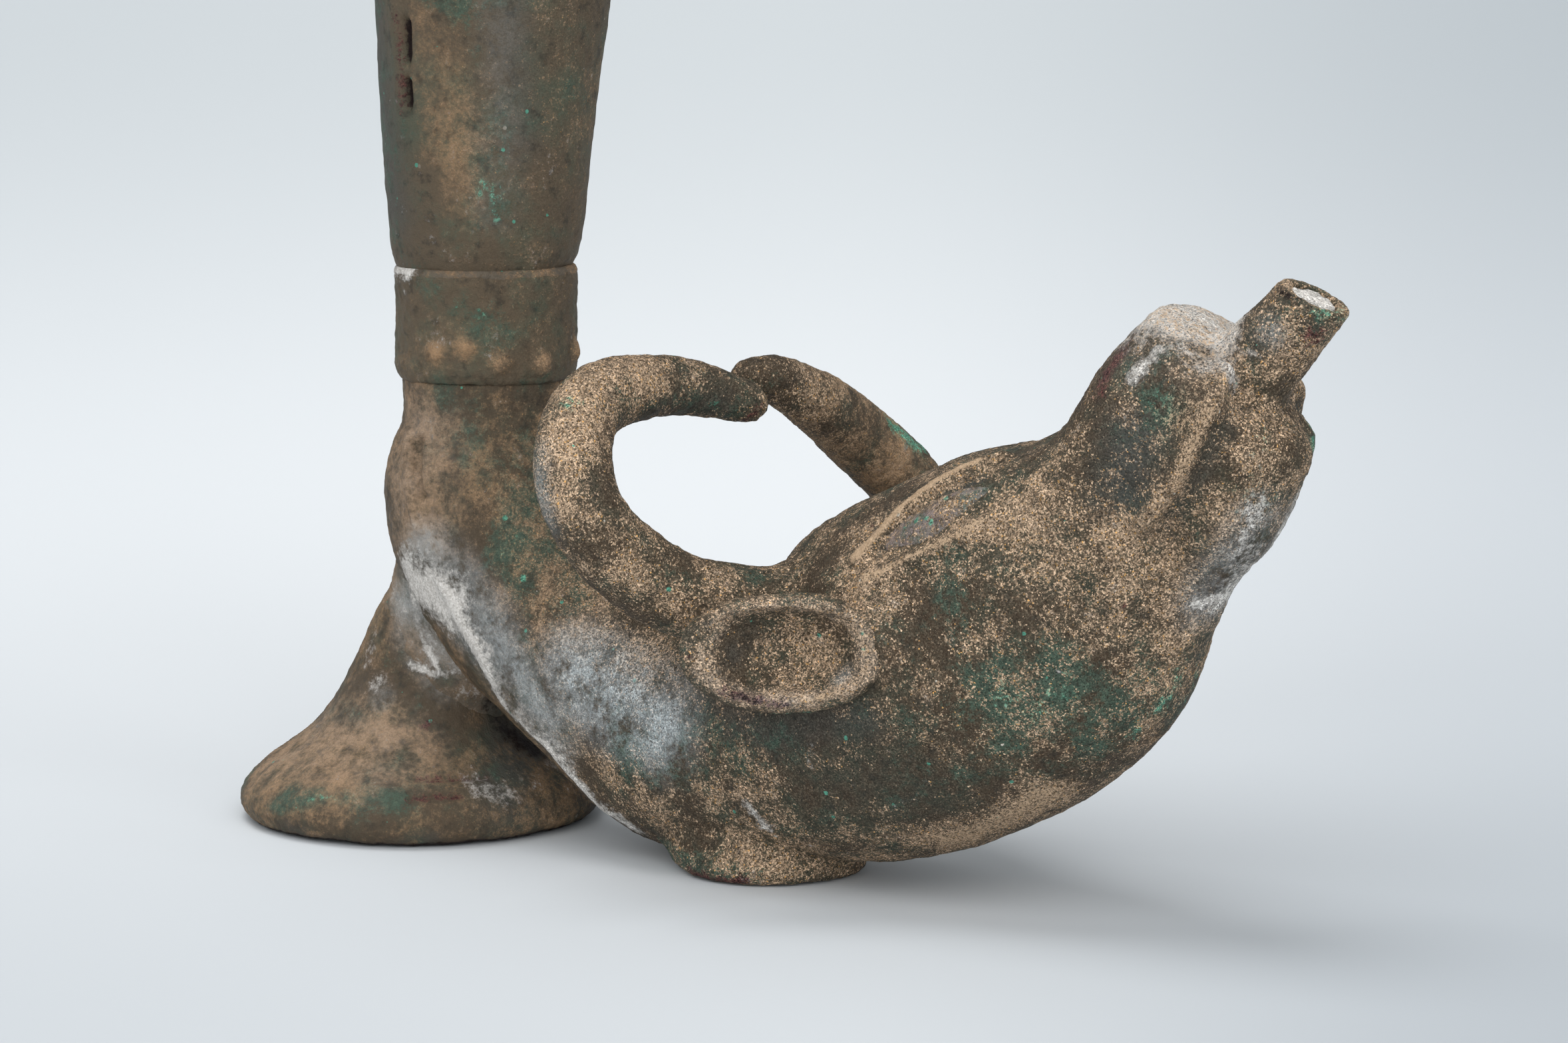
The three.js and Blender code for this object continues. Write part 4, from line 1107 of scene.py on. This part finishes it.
# the inside is plainer and has every other ring
rings += [beaker_ring(h, beaker_radius(h) - BEAKER_WALL) for h in reversed(heights[4::2])]
rings += [beaker_ring(h, BEAKER_BORE) for h in (BEAKER_BORE_HEIGHT, -BEAKER_SPIGOT)]
beaker = loft("beaker", rings + rings[:1], 3)
# near-black painted shade in the slits' openings
paint(beaker, "pit_and_shade", *((1.4, 1, *slit) for slit in BEAKER_SLITS))
paint(
    beaker, "slate_and_shade",
    (6, 0.42, (-39.5, -12, 131), (-39.6, -8.5, 108)),
    (9, 0.9, (-66, -13.5, 130), (-62, -13.5, 98)),
)
paint(
    beaker, "cuprite",
    (2.2, 0.52, (-56.8, -17.6, 127), (-57.2, -16.7, 112.5)),
    (5, 0.35, (-55, 18, 190)),
)
paint(
    beaker, "teal",
    (8, 0.65, (-68, -13, 130), (-66, -12, 96)),
    (8, 0.4, (-43, -13, 108)),
    (7, 0.8, (-53, -18.6, 132), (-47, -16.6, 129)),
    (16, 0.45, (-60, 16, 120), (-62, 18, 170)),
    (18, 0.45, (-36, -18, 190), (-34, -20, 230)),
    (20, 0.4, (-70, -8, 210)),
)
paint(
    beaker, "malachite",
    (5, 0.4, (-44.5, -12, 100.7)), (2.5, 0.36, (-43.5, -11, 96)), (9, 0.3, (-66, 12, 150)),
)
paint(
    beaker, "earth_and_highlight",
    (11, 0.27, (-51, -17.4, 124), (-47, -15, 102)),
    (15, -0.65, (-66, -13, 130), (-62, -13, 94)),
    (20, 0.3, (-30, 0, 180)),
    (16, 0.3, (-58, 18, 215)),
)
# painted sheen streak down the beaker's front
paint(beaker, "haze_and_sheen", (6, 0.11, (-41, -12.5, 132), (-43, -11, 98)))
emboss(
    beaker,
    *((1.3, -1.7, *slit) for slit in BEAKER_SLITS),
    (3, 0.4, (-58.4, -17.4, 127), (-58, -16.6, 111)),
)
roughen(beaker, BEAKER_LUMPS)
fit(beaker, beaker_patina, "beaker_bronze", "beaker")

# Rear foot: a hollow trumpet of cast bronze that leans into the bend of the neck and carries the beaker.
# Its rim is rounded, and two red slits show where its skin has scaled.
FOOT_WALL = 3
FOOT_REACH = 69.2
FOOT_RADIUS = 28.9
FOOT_STEM_RADIUS = 9.2
FOOT_SIDES = 32
FOOT_STATIONS = [
    # height, lean towards the head, and share of the way from the stem's radius to the foot's
    (0, 0, 0.84), (0.5, 0, 0.915), (1.6, 0, 0.972), (3.5, 0, 1), (6, 0.1, 0.95), (9, 0.2, 0.796),
    (12, 0.4, 0.555), (16, 0.7, 0.335), (22, 1.3, 0.173), (30, 3.2, 0.073), (38, 6.7, 0.021),
]
FOOT_TOP_STATION = 2.7
# the low ring near the rim's bottom, where painted contact shadow is laid
FOOT_SOLE = (0.3, 0, 0.89)
FOOT_STREAKS = [
    [(-54.5, -18.2, 10.2), (-50.4, -14.4, 10), (-47.5, -9.9, 9.8)],
    [(-53.5, -21, 7.4), (-48.2, -15.5, 7.6)],
]


def foot_ring(height, lean, flare, grow=0):
    """A ring of the trumpet foot, from a row of its stations."""
    radius = FOOT_STEM_RADIUS + (FOOT_RADIUS - FOOT_STEM_RADIUS) * flare + grow
    return level_ring(lean - FOOT_REACH, height, radius, FOOT_SIDES)


top_x, top_z, *_ = through(STATIONS, FOOT_TOP_STATION)
foot_outside = [foot_ring(*station) for station in FOOT_STATIONS]
foot_outside.append(level_ring(top_x, top_z, FOOT_STEM_RADIUS, FOOT_SIDES))
foot_inside = [foot_ring(*station, -FOOT_WALL) for station in FOOT_STATIONS[2::2]]
rear_foot = loft("rear_foot", foot_inside[::-1] + foot_outside, 3)
foot_lime = [
    (6, 0.45, (-60, -10, 33), (-52, -8, 28)),
    (1.6, 0.75, (-62, -10.4, 26), (-58, -9.5, 24.5), (-55, -7.4, 25.5)),
    (1.4, 0.75, (-60, -9.8, 30), (-57, -9.2, 25)),
    (4, 0.4, (-67, -12.4, 22.5)),
    (5, 0.42, (-44, -9.2, 7.2), (-47, -12, 9)),
    (5, 0.38, (-45.3, -4.6, 9.5)),
    (3, 0.38, (-71, -10, 30), (-70, -10, 24)),
]
paint(rear_foot, "lime", *mirrored(*foot_lime))
paint(rear_foot, "cuprite", *mirrored(
    *((1.7, 0.58, *streak) for streak in FOOT_STREAKS),
    (2.4, 0.6, (-58, -11.4, 17)),
    (4, 0.6, (-50, -3, 16)),
))
paint(rear_foot, "haze_and_sheen", *mirrored(
    (8, 0.7, (-60, -10, 32), (-55, -9, 26)),
    (4, 0.5, (-66, -12, 20)),
    (16, 0.12, (-64, -16, 12), (-80, -16, 11)),
))
sole = foot_ring(*FOOT_SOLE)
# painted shade on the foot's side under the bend of the neck, and painted contact shadow along the sole
paint(rear_foot, "pit_and_shade", (6, 0.75, (-51, -1, 18), (-49, 3, 12)), (1.7, 0.8, *sole, sole[0]))
paint(rear_foot, "teal", *mirrored(
    (3.8, 0.85, (-76, -28, 6), (-68, -27, 6.8), (-60.4, -24.8, 7.5), (-55, -22.5, 7.8)),
    (7, 0.5, (-90, -18, 6)),
    (5, 0.35, (-66, -11, 26)),
))
paint(rear_foot, "malachite", *mirrored((1.8, 0.52, (-68.5, -27, 6.6), (-61, -25, 7.4))))
# painted shade on the foot's side under the bend of the neck, and painted contact shadow along the bottom of
# the rim
paint(
    rear_foot, "slate_and_shade",
    (9, 0.8, (-49, 0, 13), (-46, -8, 6)),
    (9, 0.5, (-46, 8, 6)),
    *mirrored((3, 0.5, (-72, -28, 1.5), (-50, -20, 1.5))),
)
paint(rear_foot, "earth_and_highlight", *mirrored((15, 0.3, (-66, -15, 13), (-80, -16, 11))))
emboss(rear_foot, *((1.2, -0.6, *streak) for streak in FOOT_STREAKS))
roughen(rear_foot, CAST_LUMPS)
fit(rear_foot, cast_patina, "cast_bronze", "rear_foot")

# Rear foot solder: the thick bead of soft solder that joins the trumpet foot to the bend of the neck.
# It was run round the joint while hot, and lime and dark dirt have gathered on it.
SOLDER_FILLET = (5, 7)
SOLDER_SINK = 0.8
SOLDER_LUMPS = [(6, 1.0), (2.5, 0.6), (1.1, 0.3)]
# the fillet's rings and the first ring of the stem below it
bands = rooted(cast_skin, foot_outside[::-1], *SOLDER_FILLET)[: len(FILLET_STEPS) + 3]
foot_skin = skin_of(rear_foot)
low_band = []
for point in bands[-1]:
    surface, normal, _, _ = foot_skin.find_nearest(point)
    low_band.append(surface - normal * SOLDER_SINK)
solder_bead = loft("rear_foot_solder", bands + [low_band, bands[0]], 3)
roughen(solder_bead, SOLDER_LUMPS)
paint(solder_bead, "lime", (60, 0.25, (-57, 0, 34)), *mirrored(*foot_lime), *crotch_lime)
# painted shade in the crotch under the bend of the neck
paint(solder_bead, "slate_and_shade", (10, 0.8, (-49, 0, 22)))
paint(solder_bead, "haze_and_sheen", *mirrored((9, 0.8, (-61, -10, 36), (-52, -11, 29))))
# near-black painted shade in the crotch
paint(solder_bead, "pit_and_shade", (5, 0.55, (-52, -3, 19.5), (-49, 0, 20)))
fit(solder_bead, solder_patina, "solder", "rear_foot_solder")

# Front foot: a low bronze pad, cast by itself and soldered on under the throat, where the head rests on it.
# It stands flat on the table and has a heel that runs back under the neck.
PAD_RADIUS = 14.6
PAD_HEEL = 5
PAD_HEIGHT = 7
PAD_SIDES = 32
PAD_OUTLINE = [
    # radius, height
    (8, 12), (11, 9), (13, 7), (14.2, 5), (14.6, 3.2), (14.6, 1.9), (14.2, 0.8), (13.4, 0.15), (11, 0)
]
PAD_FILLET = (2.5, 2)


def pad_ring(radius, height):
    """A ring of the pad, drawn out backwards for its heel."""
    ring = level_ring(0, height, radius, PAD_SIDES)
    heel = PAD_HEEL * min(height, PAD_HEIGHT) / PAD_HEIGHT
    ring[:, 0] += np.minimum(ring[:, 0], 0) / PAD_RADIUS * heel
    return ring


rings = [pad_ring(radius, height) for radius, height in PAD_OUTLINE]
front_foot = loft("front_foot", rooted(cast_skin, rings, *PAD_FILLET), 3)
roughen(front_foot, CAST_LUMPS)
flat = corner_values(front_foot, "co")
flat[:, 2] = np.maximum(flat[:, 2], 0)
front_foot.data.vertices.foreach_set("co", flat.astype(np.float32).ravel())
front_foot.data.update()
paint(front_foot, "teal", *mirrored((4, 0.9, (-14, -9, 2), (-6, -13, 2.6), (6, -13.5, 1.6))))
paint(front_foot, "cuprite", *mirrored((2.4, 0.75, (-5, -13.4, 1), (5, -13.6, 0.8))))
paint(front_foot, "earth_and_highlight", *mirrored((5, 0.2, (2, -14, 5), (11, -9, 4))))
paint(front_foot, "lime", (4, 0.6, (-19, -7, 5), (-20, 0, 6)), (4, 0.5, (-19, 7, 5)))
fit(front_foot, cast_patina, "cast_bronze", "front_foot")
